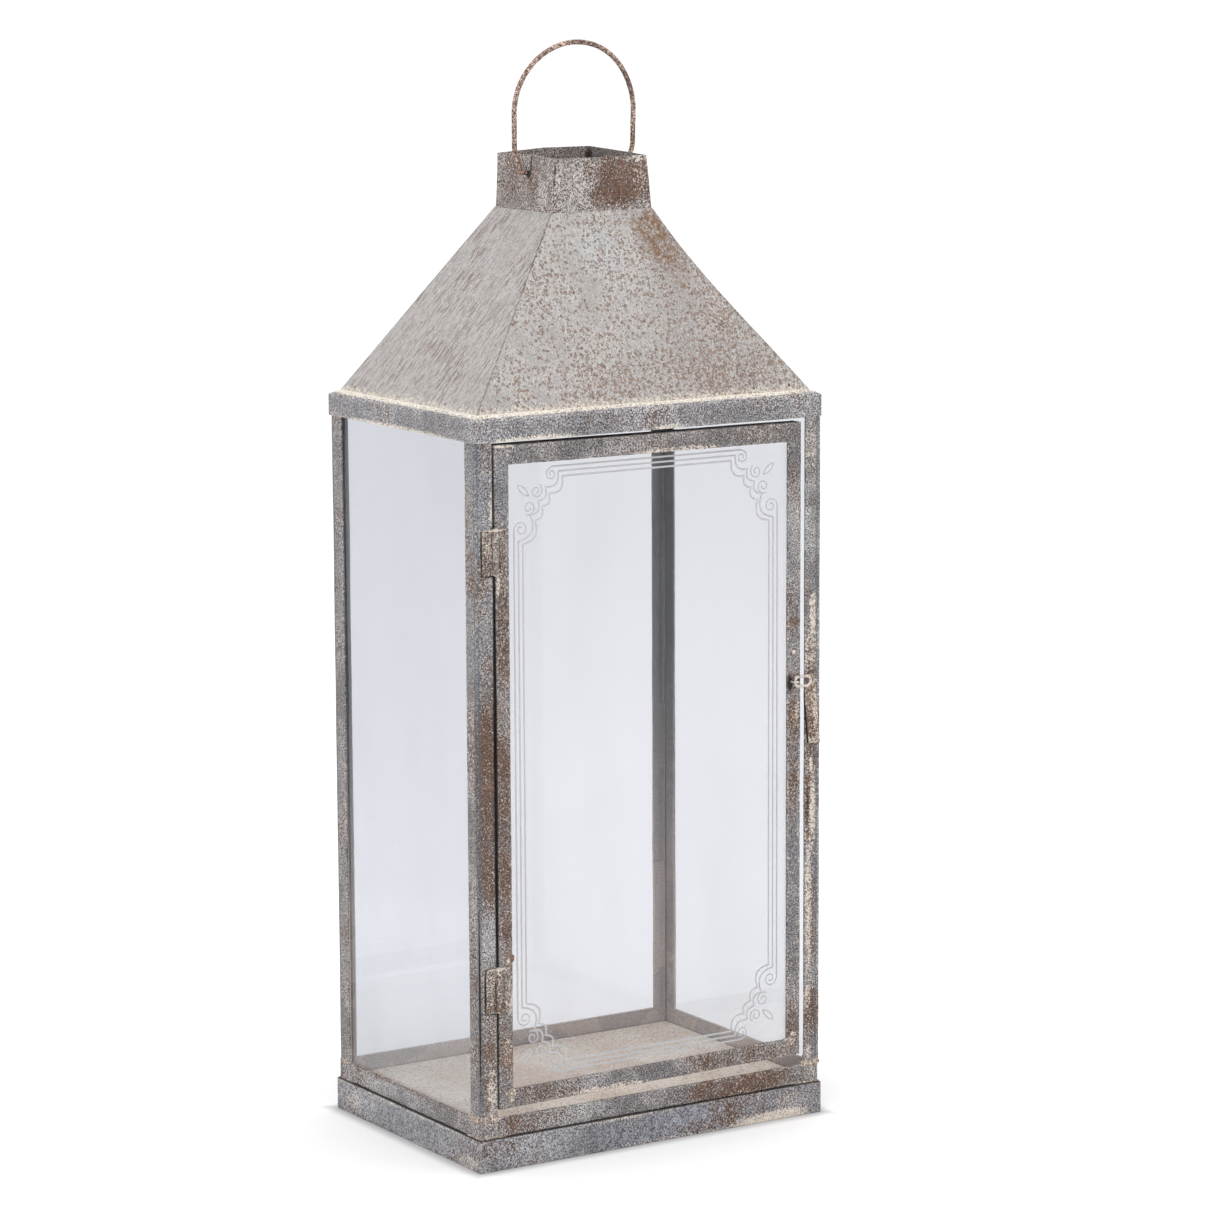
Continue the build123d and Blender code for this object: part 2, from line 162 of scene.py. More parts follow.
def add_floor():
    mesh = bpy.data.meshes.new("floor")
    reach, level = 60.0, plinth_low.z - 0.1 * MM
    corners = [(sx * reach, sy * reach, level) for sx, sy in ((-1, -1), (1, -1), (1, 1), (-1, 1))]
    mesh.from_pydata(corners, [], [(0, 1, 2, 3)])
    floor = bpy.data.objects.new("floor", mesh)
    bpy.context.scene.collection.objects.link(floor)
    paint = Paint("floor_white")
    tone = paint.mix((0.93, 0.93, 0.925), (0.95, 0.95, 0.95), paint.noise(3.0, 3, 0.5))
    # Painted contact shadow: the floor darkens within a few millimetres of the plinth.
    contact_shadow = paint.inside(-plinth_low.x + 5 * MM, -plinth_low.y + 5 * MM, 6 * MM)
    paint.colour(paint.mix(tone, (0.40, 0.40, 0.41), paint.times(contact_shadow, 0.8)))
    paint.set("Roughness", 0.9)
    paint.set("Specular IOR Level", 0.0)
    mesh.materials.append(paint.material)


# --- a small language for materials ---

class Paint:
    """A material whose node tree is built call by call. Places are in metres on the object."""

    def __init__(self, name):
        self.material = bpy.data.materials.new(name)
        self.material.use_nodes = True
        self.tree = self.material.node_tree
        self.shader = self.tree.nodes["Principled BSDF"]
        self.place = self.tree.nodes.new("ShaderNodeTexCoord").outputs["Object"]

    def feed(self, socket, value):
        if isinstance(value, bpy.types.NodeSocket):
            self.tree.links.new(value, socket)
        elif isinstance(value, tuple) and socket.type == "RGBA":
            socket.default_value = (*value, 1)
        else:
            socket.default_value = value

    def math(self, operation, first, second=0.0, clamp=False):
        node = self.tree.nodes.new("ShaderNodeMath")
        node.operation, node.use_clamp = operation, clamp
        self.feed(node.inputs[0], first)
        self.feed(node.inputs[1], second)
        return node.outputs[0]

    def add(self, first, second):
        return self.math("ADD", first, second)

    def less(self, first, second):
        return self.math("SUBTRACT", first, second)

    def times(self, first, second):
        return self.math("MULTIPLY", first, second)

    def most(self, first, second):
        return self.math("MAXIMUM", first, second)

    def swing(self, value, amount):
        """The amount times how far the value is from its mean of 0.5."""
        return self.times(self.less(value, 0.5), amount)

    def varied(self, value, amount):
        """A factor of about 1 that swings with the value."""
        return self.add(1.0, self.swing(value, amount))

    def ramp(self, value, low, high, start=0.0, end=1.0):
        """A smooth step from start to end as value goes from low to high."""
        node = self.tree.nodes.new("ShaderNodeMapRange")
        node.interpolation_type = "SMOOTHSTEP"
        for socket, setting in zip(node.inputs, (value, low, high, start, end)):
            self.feed(socket, setting)
        return node.outputs[0]

    def mix(self, first, second, share):
        node = self.tree.nodes.new("ShaderNodeMix")
        node.data_type = "RGBA"
        self.feed(node.inputs["Factor"], share)
        self.feed(node.inputs[6], first)
        self.feed(node.inputs[7], second)
        return node.outputs[2]

    def vector(self, operation, first, second):
        node = self.tree.nodes.new("ShaderNodeVectorMath")
        node.operation = operation
        self.feed(node.inputs[0], first)
        self.feed(node.inputs[1], second)
        return node

    def noise(self, scale, detail=2.0, roughness=0.5, stretch=(1, 1, 1), shift=0.0, place=None):
        """Noise of about 0.5 with grains about 1 / scale metres wide, moved by shift."""
        placed = self.vector("MULTIPLY", place or self.place, stretch).outputs[0]
        placed = self.vector("ADD", placed, (shift, 0.7 * shift, 1.3 * shift)).outputs[0]
        node = self.tree.nodes.new("ShaderNodeTexNoise")
        self.feed(node.inputs["Vector"], placed)
        node.inputs["Scale"].default_value = scale
        node.inputs["Detail"].default_value = detail
        node.inputs["Roughness"].default_value = roughness
        return node.outputs[0]

    def cells(self, scale):
        """How far the place is from the middle of its cell, in cells, and a random value for each cell."""
        node = self.tree.nodes.new("ShaderNodeTexVoronoi")
        self.feed(node.inputs["Vector"], self.place)
        node.inputs["Scale"].default_value = scale
        return node.outputs["Distance"], node.outputs["Color"]

    def zone(self, centre, reach):
        """1 at the centre of an ellipsoid, fading to 0 at its surface. Both are in millimetres."""
        away = self.vector("SUBTRACT", self.place, tuple(c * MM for c in centre)).outputs[0]
        away = self.vector("DIVIDE", away, tuple(r * MM for r in reach)).outputs[0]
        distance = self.vector("LENGTH", away, (0, 0, 0)).outputs["Value"]
        return self.ramp(distance, 1.0, 0.35)

    def zones(self, start, areas):
        """start plus each area's strength where it lies."""
        total = start
        for centre, reach, strength in areas:
            total = self.add(total, self.times(self.zone(centre, reach), strength))
        return total

    def axes(self):
        """The place's three coordinates."""
        node = self.tree.nodes.new("ShaderNodeSeparateXYZ")
        self.feed(node.inputs[0], self.place)
        return node.outputs

    def inside(self, half_width, half_depth, fade=0.3 * MM):
        """1 nearer to the lantern's axis than a rectangle round it, and 0 outside."""
        x, y, _ = self.axes()
        over_x = self.less(self.math("ABSOLUTE", x), half_width)
        over_y = self.less(self.math("ABSOLUTE", y), half_depth)
        return self.ramp(self.most(over_x, over_y), fade, -fade)

    def line_distance(self, start, end):
        """The distance from a line that is repeated at the lantern's four corners."""
        folded = self.vector("ABSOLUTE", self.place, (0, 0, 0)).outputs[0]
        arm = self.vector("SUBTRACT", folded, tuple(start)).outputs[0]
        along = (Vector(end) - Vector(start)).normalized()
        across = self.vector("CROSS_PRODUCT", arm, tuple(along)).outputs[0]
        return self.vector("LENGTH", across, (0, 0, 0)).outputs["Value"]

    def attribute(self, name):
        node = self.tree.nodes.new("ShaderNodeAttribute")
        node.attribute_name = name
        return node.outputs["Fac"]

    def scaled(self, colour, factor):
        node = self.tree.nodes.new("ShaderNodeVectorMath")
        node.operation = "SCALE"
        self.feed(node.inputs[0], colour)
        self.feed(node.inputs["Scale"], factor)
        return node.outputs[0]

    def set(self, name, value):
        """Gives an input of the shader a constant or a link."""
        self.feed(self.shader.inputs[name], value)

    def colour(self, value):
        self.set("Base Color", value)

    def bump(self, height, strength, distance):
        node = self.tree.nodes.new("ShaderNodeBump")
        self.feed(node.inputs["Height"], height)
        node.inputs["Strength"].default_value = strength
        node.inputs["Distance"].default_value = distance
        self.set("Normal", node.outputs[0])


BROWN = (0.135, 0.074, 0.047)
DARK_BROWN = (0.042, 0.022, 0.015)
RUST = (0.260, 0.125, 0.062)
CREAM = (0.780, 0.690, 0.600)
# Near black for painted shade in gaps, inner corners and recesses, and for dark seams.
SHADE_AND_SEAM_BLACK = (0.018, 0.015, 0.014)


def weathered(name, light, dark, grain=0.5, brown=0.0, cream=0.0, streak=0.0, metallic=0.2, dust=CREAM,
              edge_dust=0.04, inner=None, brown_areas=(), dust_and_highlight_areas=(), rust_areas=(), clean_areas=(),
              shade_and_seam_areas=(), painted_light_areas=()):
    """Old zinc: mottled grey with a fine grain, brown rust flecks, cream dust and stained areas, with painted
    light and shade: lighter listed areas, cream highlights among the dust areas, and near-black shade in inner
    corners and listed areas.
    """
    paint = Paint(name)
    patches = paint.noise(30, 3, 0.65, shift=3.1)
    clouds = paint.noise(9, 2, 0.5, shift=7.7)
    fine = paint.ramp(paint.noise(980, 2, 0.9, shift=1.3), 0.40, 0.60)
    middle = paint.noise(310, 2, 0.65, shift=5.9)
    drips = paint.noise(150, 2, 0.6, stretch=(1, 1, 0.12), shift=9.4)
    worn = paint.attribute("wear")
    edge = paint.most(worn, 0.0)
    # Painted shade in inner corners, where the wear is negative.
    nook_shade = paint.most(paint.times(worn, -1.0), 0.0)

    grey = paint.mix(dark, light, paint.ramp(patches, 0.36, 0.62))
    blue = paint.mix(grey, (dark[0] * 1.10, dark[1] * 1.22, dark[2] * 1.38),
                     paint.ramp(clouds, 0.48, 0.68, 0.0, 0.6))
    # Painted light: listed areas made lighter, as where a face is lit more.
    blue = paint.mix(blue, (light[0] * 1.9, light[1] * 1.85, light[2] * 1.8), paint.zones(0.0, painted_light_areas))
    clean = paint.zones(0.0, clean_areas)
    coarse = paint.less(1.0, paint.times(clean, 0.15))
    gain = paint.add(1.0, paint.times(paint.swing(fine, 3.6 * grain), coarse))
    gain = paint.times(gain, paint.varied(middle, 1.6 * grain))
    gain = paint.times(gain, paint.varied(drips, streak))
    base = paint.scaled(blue, paint.most(gain, 0.2))

    spread = paint.swing(patches, 0.55)
    rust_share = paint.add(paint.zones(brown, brown_areas), spread)
    rust_share = paint.less(rust_share, paint.times(clean, 0.16))
    fleck = paint.add(paint.noise(820, 3, 0.8, shift=12.5), rust_share)
    fleck = paint.add(fleck, paint.swing(drips, 0.22))
    fleck_mask = paint.ramp(fleck, 0.57, 0.61)
    deep = paint.ramp(paint.noise(900, 1, 0.5, shift=21.0), 0.40, 0.60, 0.0, 0.8)
    fleck_colour = paint.mix(BROWN, RUST, paint.ramp(middle, 0.5, 0.68, 0.0, 0.6))
    fleck_colour = paint.mix(fleck_colour, DARK_BROWN, deep)
    coat = paint.mix(base, fleck_colour, paint.times(fleck_mask, 0.92))

    stain = paint.math("MULTIPLY", paint.zones(0.0, rust_areas), paint.ramp(middle, 0.35, 0.6), clamp=True)
    coat = paint.mix(coat, paint.mix(RUST, BROWN, fine), paint.times(stain, 0.85))

    # Cream dust over the listed areas; a few of them are painted highlights on lit edges and a glint.
    dust_share = paint.add(paint.zones(cream, dust_and_highlight_areas), paint.times(edge, edge_dust))
    dust_share = paint.less(dust_share, paint.times(clean, 0.05))
    dusty = paint.add(paint.noise(860, 3, 0.8, shift=30.5), dust_share)
    dusty = paint.add(dusty, paint.swing(clouds, 0.18))
    dust_mask = paint.ramp(dusty, 0.60, 0.65)
    coat = paint.mix(coat, paint.mix(dust, tuple(0.72 * c for c in dust), fine), dust_mask)

    # The inside faces get painted light and shade, with dust low down.
    if inner:
        coat = inside_light_shade_and_dust(paint, coat, inner, paint.add(0.80, paint.times(fine, 0.44)))

    # Painted shade: near black over the listed shade areas and in inner corners. Listed seams are darkened the
    # same way.
    shade = paint.math("ADD", paint.zones(0.0, shade_and_seam_areas), paint.times(nook_shade, 0.45), clamp=True)
    coat = paint.mix(coat, SHADE_AND_SEAM_BLACK, shade)
    paint.colour(coat)
    paint.set("Metallic", metallic)
    paint.set("Specular IOR Level", 0.3)
    rough = paint.add(0.50, paint.times(fleck_mask, 0.28))
    rough = paint.math("ADD", rough, paint.times(dust_mask, 0.25), clamp=True)
    paint.set("Roughness", rough)
    relief = paint.add(paint.times(fine, 0.35), paint.times(fleck_mask, 0.3))
    paint.bump(paint.add(relief, paint.times(dust_mask, 0.5)), 0.35, 0.25 * MM)
    return paint.material


def inside_light_shade_and_dust(paint, coat, tones, grain):
    """The faces inside the frame: painted shade above, lighter below for painted light and dust, painted shade in
    each inner corner and a thin painted reflection up it.
    """
    low_tone, high_tone = tones
    half_width = frame_half_width - angle_wall
    half_depth = frame_half_depth - angle_wall
    # Painted shade up high, painted light and dust low down.
    tone = paint.mix(high_tone, low_tone, paint.ramp(paint.axes()["Z"], 0.30, 0.06))
    uneven_cover = paint.ramp(paint.noise(60, 3, 0.6, shift=6.6), 0.30, 0.62, 0.88, 0.99)
    share = paint.times(paint.inside(half_width + 0.5 * MM, half_depth + 0.5 * MM), uneven_cover)
    coat = paint.mix(coat, paint.scaled(tone, grain), share)
    corner = paint.line_distance((half_width, half_depth, 0), (half_width, half_depth, 1))
    # Painted shade in the inner corner.
    coat = paint.mix(coat, (0.085, 0.105, 0.130), paint.ramp(corner, 2.0 * MM, 1.2 * MM, 0.0, 0.85))
    # Painted reflection: a thin bright line up each corner.
    return paint.mix(coat, (0.560, 0.580, 0.610), paint.ramp(corner, 0.7 * MM, 0.4 * MM, 0.0, 0.55))


def roof_coat(name):
    """Pale zinc: ring-shaped tan flecks on the front and back, fine pinkish streaks on the flanks."""
    paint = Paint(name)
    x, y, z = paint.axes()
    half_width, half_depth = roof_high.x, -roof_low.y
    rise = paint.math("DIVIDE", paint.less(z, roof_low.z), roof_high.z - roof_low.z)
    lead = paint.less(paint.math("ABSOLUTE", x), paint.math("ABSOLUTE", y))
    narrowing = (half_width - neck_half_width) - (half_depth - neck_half_depth)
    hip = paint.less(half_width - half_depth, paint.times(rise, narrowing))
    flank = paint.ramp(paint.less(lead, hip), -0.3 * MM, 0.3 * MM)
    front = paint.less(1.0, flank)
    slope = paint.tree.nodes.new("ShaderNodeCombineXYZ")
    paint.feed(slope.inputs[0], paint.times(x, front))
    paint.feed(slope.inputs[1], paint.add(paint.times(y, flank), paint.times(z, 0.25)))
    paint.feed(slope.inputs[2], paint.times(z, 0.12))

    fine = paint.ramp(paint.noise(980, 2, 0.9, shift=1.3), 0.38, 0.62)
    patches = paint.noise(24, 3, 0.65, shift=3.1)
    middle = paint.noise(310, 2, 0.65, shift=5.9)
    strokes = paint.noise(620, 3, 0.8, shift=2.2, place=slope.outputs[0])
    base = paint.mix((0.350, 0.330, 0.322), (0.440, 0.425, 0.416), paint.ramp(patches, 0.34, 0.64))
    base = paint.mix(base, (0.450, 0.455, 0.465), paint.zones(0.0, [((-8, -46, 548), (26, 18, 20), 0.8)]))
    gain = paint.varied(fine, 0.34)
    stroke_gain = paint.add(0.9, paint.times(flank, 1.9))
    gain = paint.times(gain, paint.varied(strokes, stroke_gain))
    # Painted light: the flank panels a little lighter than the front and back, as they face more upwards.
    gain = paint.times(gain, paint.add(0.925, paint.times(flank, 0.13)))
    base = paint.scaled(base, gain)

    share = paint.zones(-0.030, [
        ((70, -62, 500), (70, 50, 70), 0.055), ((20, -82, 470), (110, 30, 30), 0.045),
        ((40, -42, 552), (28, 28, 28), 0.110), ((0, 80, 500), (120, 40, 70), 0.030)])
    share = paint.add(share, paint.swing(patches, 0.30))
    marks = paint.ramp(paint.add(paint.noise(800, 2, 0.8, shift=40.1), share), 0.585, 0.620, 0.0, 0.85)
    for scale, thin in ((420, 0.02), (640, 0.05)):
        away, pick = paint.cells(scale)
        away = paint.add(away, paint.swing(fine, 0.16))
        ring = paint.times(paint.ramp(away, 0.16, 0.26), paint.ramp(away, 0.52, 0.40))
        chosen = paint.ramp(paint.add(pick, paint.times(share, 3.0)), 0.54 + thin, 0.60 + thin)
        marks = paint.most(marks, paint.times(ring, chosen))
    blots = paint.ramp(paint.add(paint.noise(300, 3, 0.78, shift=12.5), share), 0.600, 0.650, 0.0, 0.8)
    marks = paint.most(marks, blots)
    tan = paint.mix((0.215, 0.135, 0.095), (0.130, 0.078, 0.055), paint.ramp(middle, 0.42, 0.62))
    coat = paint.mix(base, tan, paint.times(paint.times(marks, front), 0.90))

    brush = paint.add(strokes, paint.swing(patches, 0.26))
    brushed = paint.times(paint.times(paint.ramp(brush, 0.52, 0.56), flank), 0.90)
    coat = paint.mix(coat, (0.165, 0.120, 0.108), brushed)

    rust = paint.zones(0.0, [((30, -35, 560), (18, 12, 14), 1.0), ((36, -42, 548), (12, 12, 18), 1.0),
                             ((44, -48, 532), (12, 14, 20), 0.45)])
    rust = paint.times(rust, paint.ramp(paint.noise(260, 3, 0.7, shift=8.8), 0.42, 0.56))
    coat = paint.mix(coat, paint.mix((0.240, 0.140, 0.082), (0.120, 0.068, 0.044), fine), rust)
    foot = paint.ramp(z, roof_low.z + 6 * MM, roof_low.z)
    dusty = paint.ramp(paint.add(paint.noise(600, 3, 0.8, shift=30.5), paint.times(foot, 0.14)), 0.60, 0.66)
    coat = paint.mix(coat, (0.66, 0.59, 0.50), paint.times(dusty, 0.8))

    start = (half_width, half_depth, roof_low.z)
    seam = paint.line_distance(start, (neck_half_width, neck_half_depth, roof_high.z))
    seam = paint.times(paint.ramp(seam, 0.9 * MM, 0.3 * MM), paint.ramp(middle, 0.36, 0.54, 0.10, 0.55))
    coat = paint.mix(coat, (0.060, 0.050, 0.046), seam)
    # Painted shade where the wear attribute is negative, in inner corners and holes.
    hole_shade = paint.most(paint.times(paint.attribute("wear"), -1.0), 0.0)
    paint.colour(paint.mix(coat, SHADE_AND_SEAM_BLACK, hole_shade))
    paint.set("Metallic", 0.12)
    paint.set("Roughness", paint.add(0.55, paint.times(marks, 0.25)))
    paint.bump(paint.add(paint.times(fine, 0.35), paint.times(marks, 0.4)), 0.35, 0.25 * MM)
    return paint.material


def floor_dust(name):
    """The sheet inside: tan dust with cream specks that are thicker towards its edges."""
    paint = Paint(name)
    cloud = paint.noise(30, 4, 0.6)
    fine = paint.ramp(paint.noise(700, 3, 0.85, shift=4.0), 0.34, 0.66)
    tan = paint.mix((0.82, 0.67, 0.56), (0.98, 0.87, 0.77), paint.ramp(cloud, 0.35, 0.65))
    tan = paint.scaled(tan, paint.add(0.80, paint.times(fine, 0.50)))
    heart = paint.zone((-6, 0, 23), (128, 84, 60))
    edge = paint.less(1.0, heart)
    specks = paint.add(paint.noise(420, 4, 0.8, shift=9.0), paint.times(edge, 0.09))
    coat = paint.mix(tan, (0.90, 0.84, 0.72), paint.ramp(specks, 0.585, 0.635))
    flecks = paint.add(paint.noise(560, 3, 0.8, shift=17.0), paint.times(edge, 0.05))
    paint.colour(paint.mix(coat, (0.26, 0.17, 0.12), paint.ramp(flecks, 0.61, 0.67, 0.0, 0.85)))
    paint.set("Roughness", 0.8)
    paint.bump(fine, 0.3, 0.3 * MM)
    return paint.material


def glassy(paint, colour):
    """Makes a material clear glass of this colour."""
    paint.colour(colour)
    paint.set("Transmission Weight", 1.0)
    paint.set("Roughness", 0.0)
    paint.set("IOR", 1.45)
    return paint.material


def window_glass(name, tint, haze):
    """Clear glass of one tint with faint cloudy smears, and a brighter sheen low at its hinge side."""
    paint = Paint(name)
    smear = paint.noise(14, 3, 0.6, stretch=(1, 1, 0.35))
    dusty = tuple(c * haze for c in tint)
    x, y, z = paint.axes()
    level = paint.less(paint.add(z, paint.times(y, 0.12)), 150 * MM)
    sheen = paint.times(paint.ramp(level, 14 * MM, -10 * MM), paint.ramp(x, -118 * MM, -119 * MM))
    clear = paint.mix(tint, tuple(min(1.0, 1.045 * c) for c in tint), sheen)
    return glassy(paint, paint.mix(clear, dusty, paint.ramp(smear, 0.45, 0.75)))


def door_window_glass(name, tint, haze):
    """The door's glass: smears, and a film over its lower half up to a soft peaked line."""
    paint = Paint(name)
    smear = paint.noise(14, 3, 0.6, stretch=(1, 1, 0.35))
    x, _, z = paint.axes()
    side = paint.math("ABSOLUTE", paint.less(x, 27 * MM))
    line = paint.less(242 * MM, paint.times(side, 0.3))
    film = paint.ramp(paint.less(line, z), -14 * MM, 10 * MM)
    dusty = tuple(c * haze for c in tint)
    share = paint.add(paint.ramp(smear, 0.45, 0.75, 0.0, 0.5), paint.times(film, 0.5))
    return glassy(paint, paint.mix(tint, dusty, share))


def frosted(name):
    """The etched lines: white, matt and a little uneven."""
    paint = Paint(name)
    fine = paint.noise(900, 2, 0.6)
    paint.colour(paint.mix((0.70, 0.71, 0.72), (0.82, 0.83, 0.84), fine))
    paint.set("Roughness", 0.85)
    paint.bump(fine, 0.2, 0.05 * MM)
    return paint.material


def solder(name):
    """Dull solder and weld lumps under cream dust, nearly the colour of the frame."""
    paint = Paint(name)
    cloud = paint.noise(160, 3, 0.6)
    fine = paint.ramp(paint.noise(700, 3, 0.8, shift=2.0), 0.40, 0.60)
    coat = paint.mix((0.20, 0.165, 0.148), (0.40, 0.345, 0.305), paint.ramp(cloud, 0.38, 0.60))
    coat = paint.mix(coat, BROWN, paint.times(fine, 0.75))
    specks = paint.ramp(paint.noise(620, 3, 0.8, shift=31.0), 0.53, 0.60)
    coat = paint.mix(coat, CREAM, specks)
    rusty = paint.times(paint.zone((-101.5, -86, 130), (6, 6, 7)), 0.9)
    paint.colour(paint.mix(coat, paint.mix(RUST, BROWN, fine), rusty))
    paint.set("Roughness", 0.7)
    paint.set("Metallic", 0.2)
    paint.bump(fine, 0.5, 0.3 * MM)
    return paint.material


def hinge_shadows():
    """Dark lines along the left and lower edges of both hinges' post leaves."""
    areas = []
    for stem in ("upper_hinge", "lower_hinge"):
        low, high = span(f"{stem}_post_leaf")
        left, foot, middle = low.x / MM, low.z / MM, (low.z + high.z) / 2 / MM
        areas.append(((left - 0.2, front_face / MM, middle), (1.3, 3, 19), 1.1))
        areas.append(((left + 8, front_face / MM, foot - 0.3), (13, 3, 1.3), 1.1))
    return areas


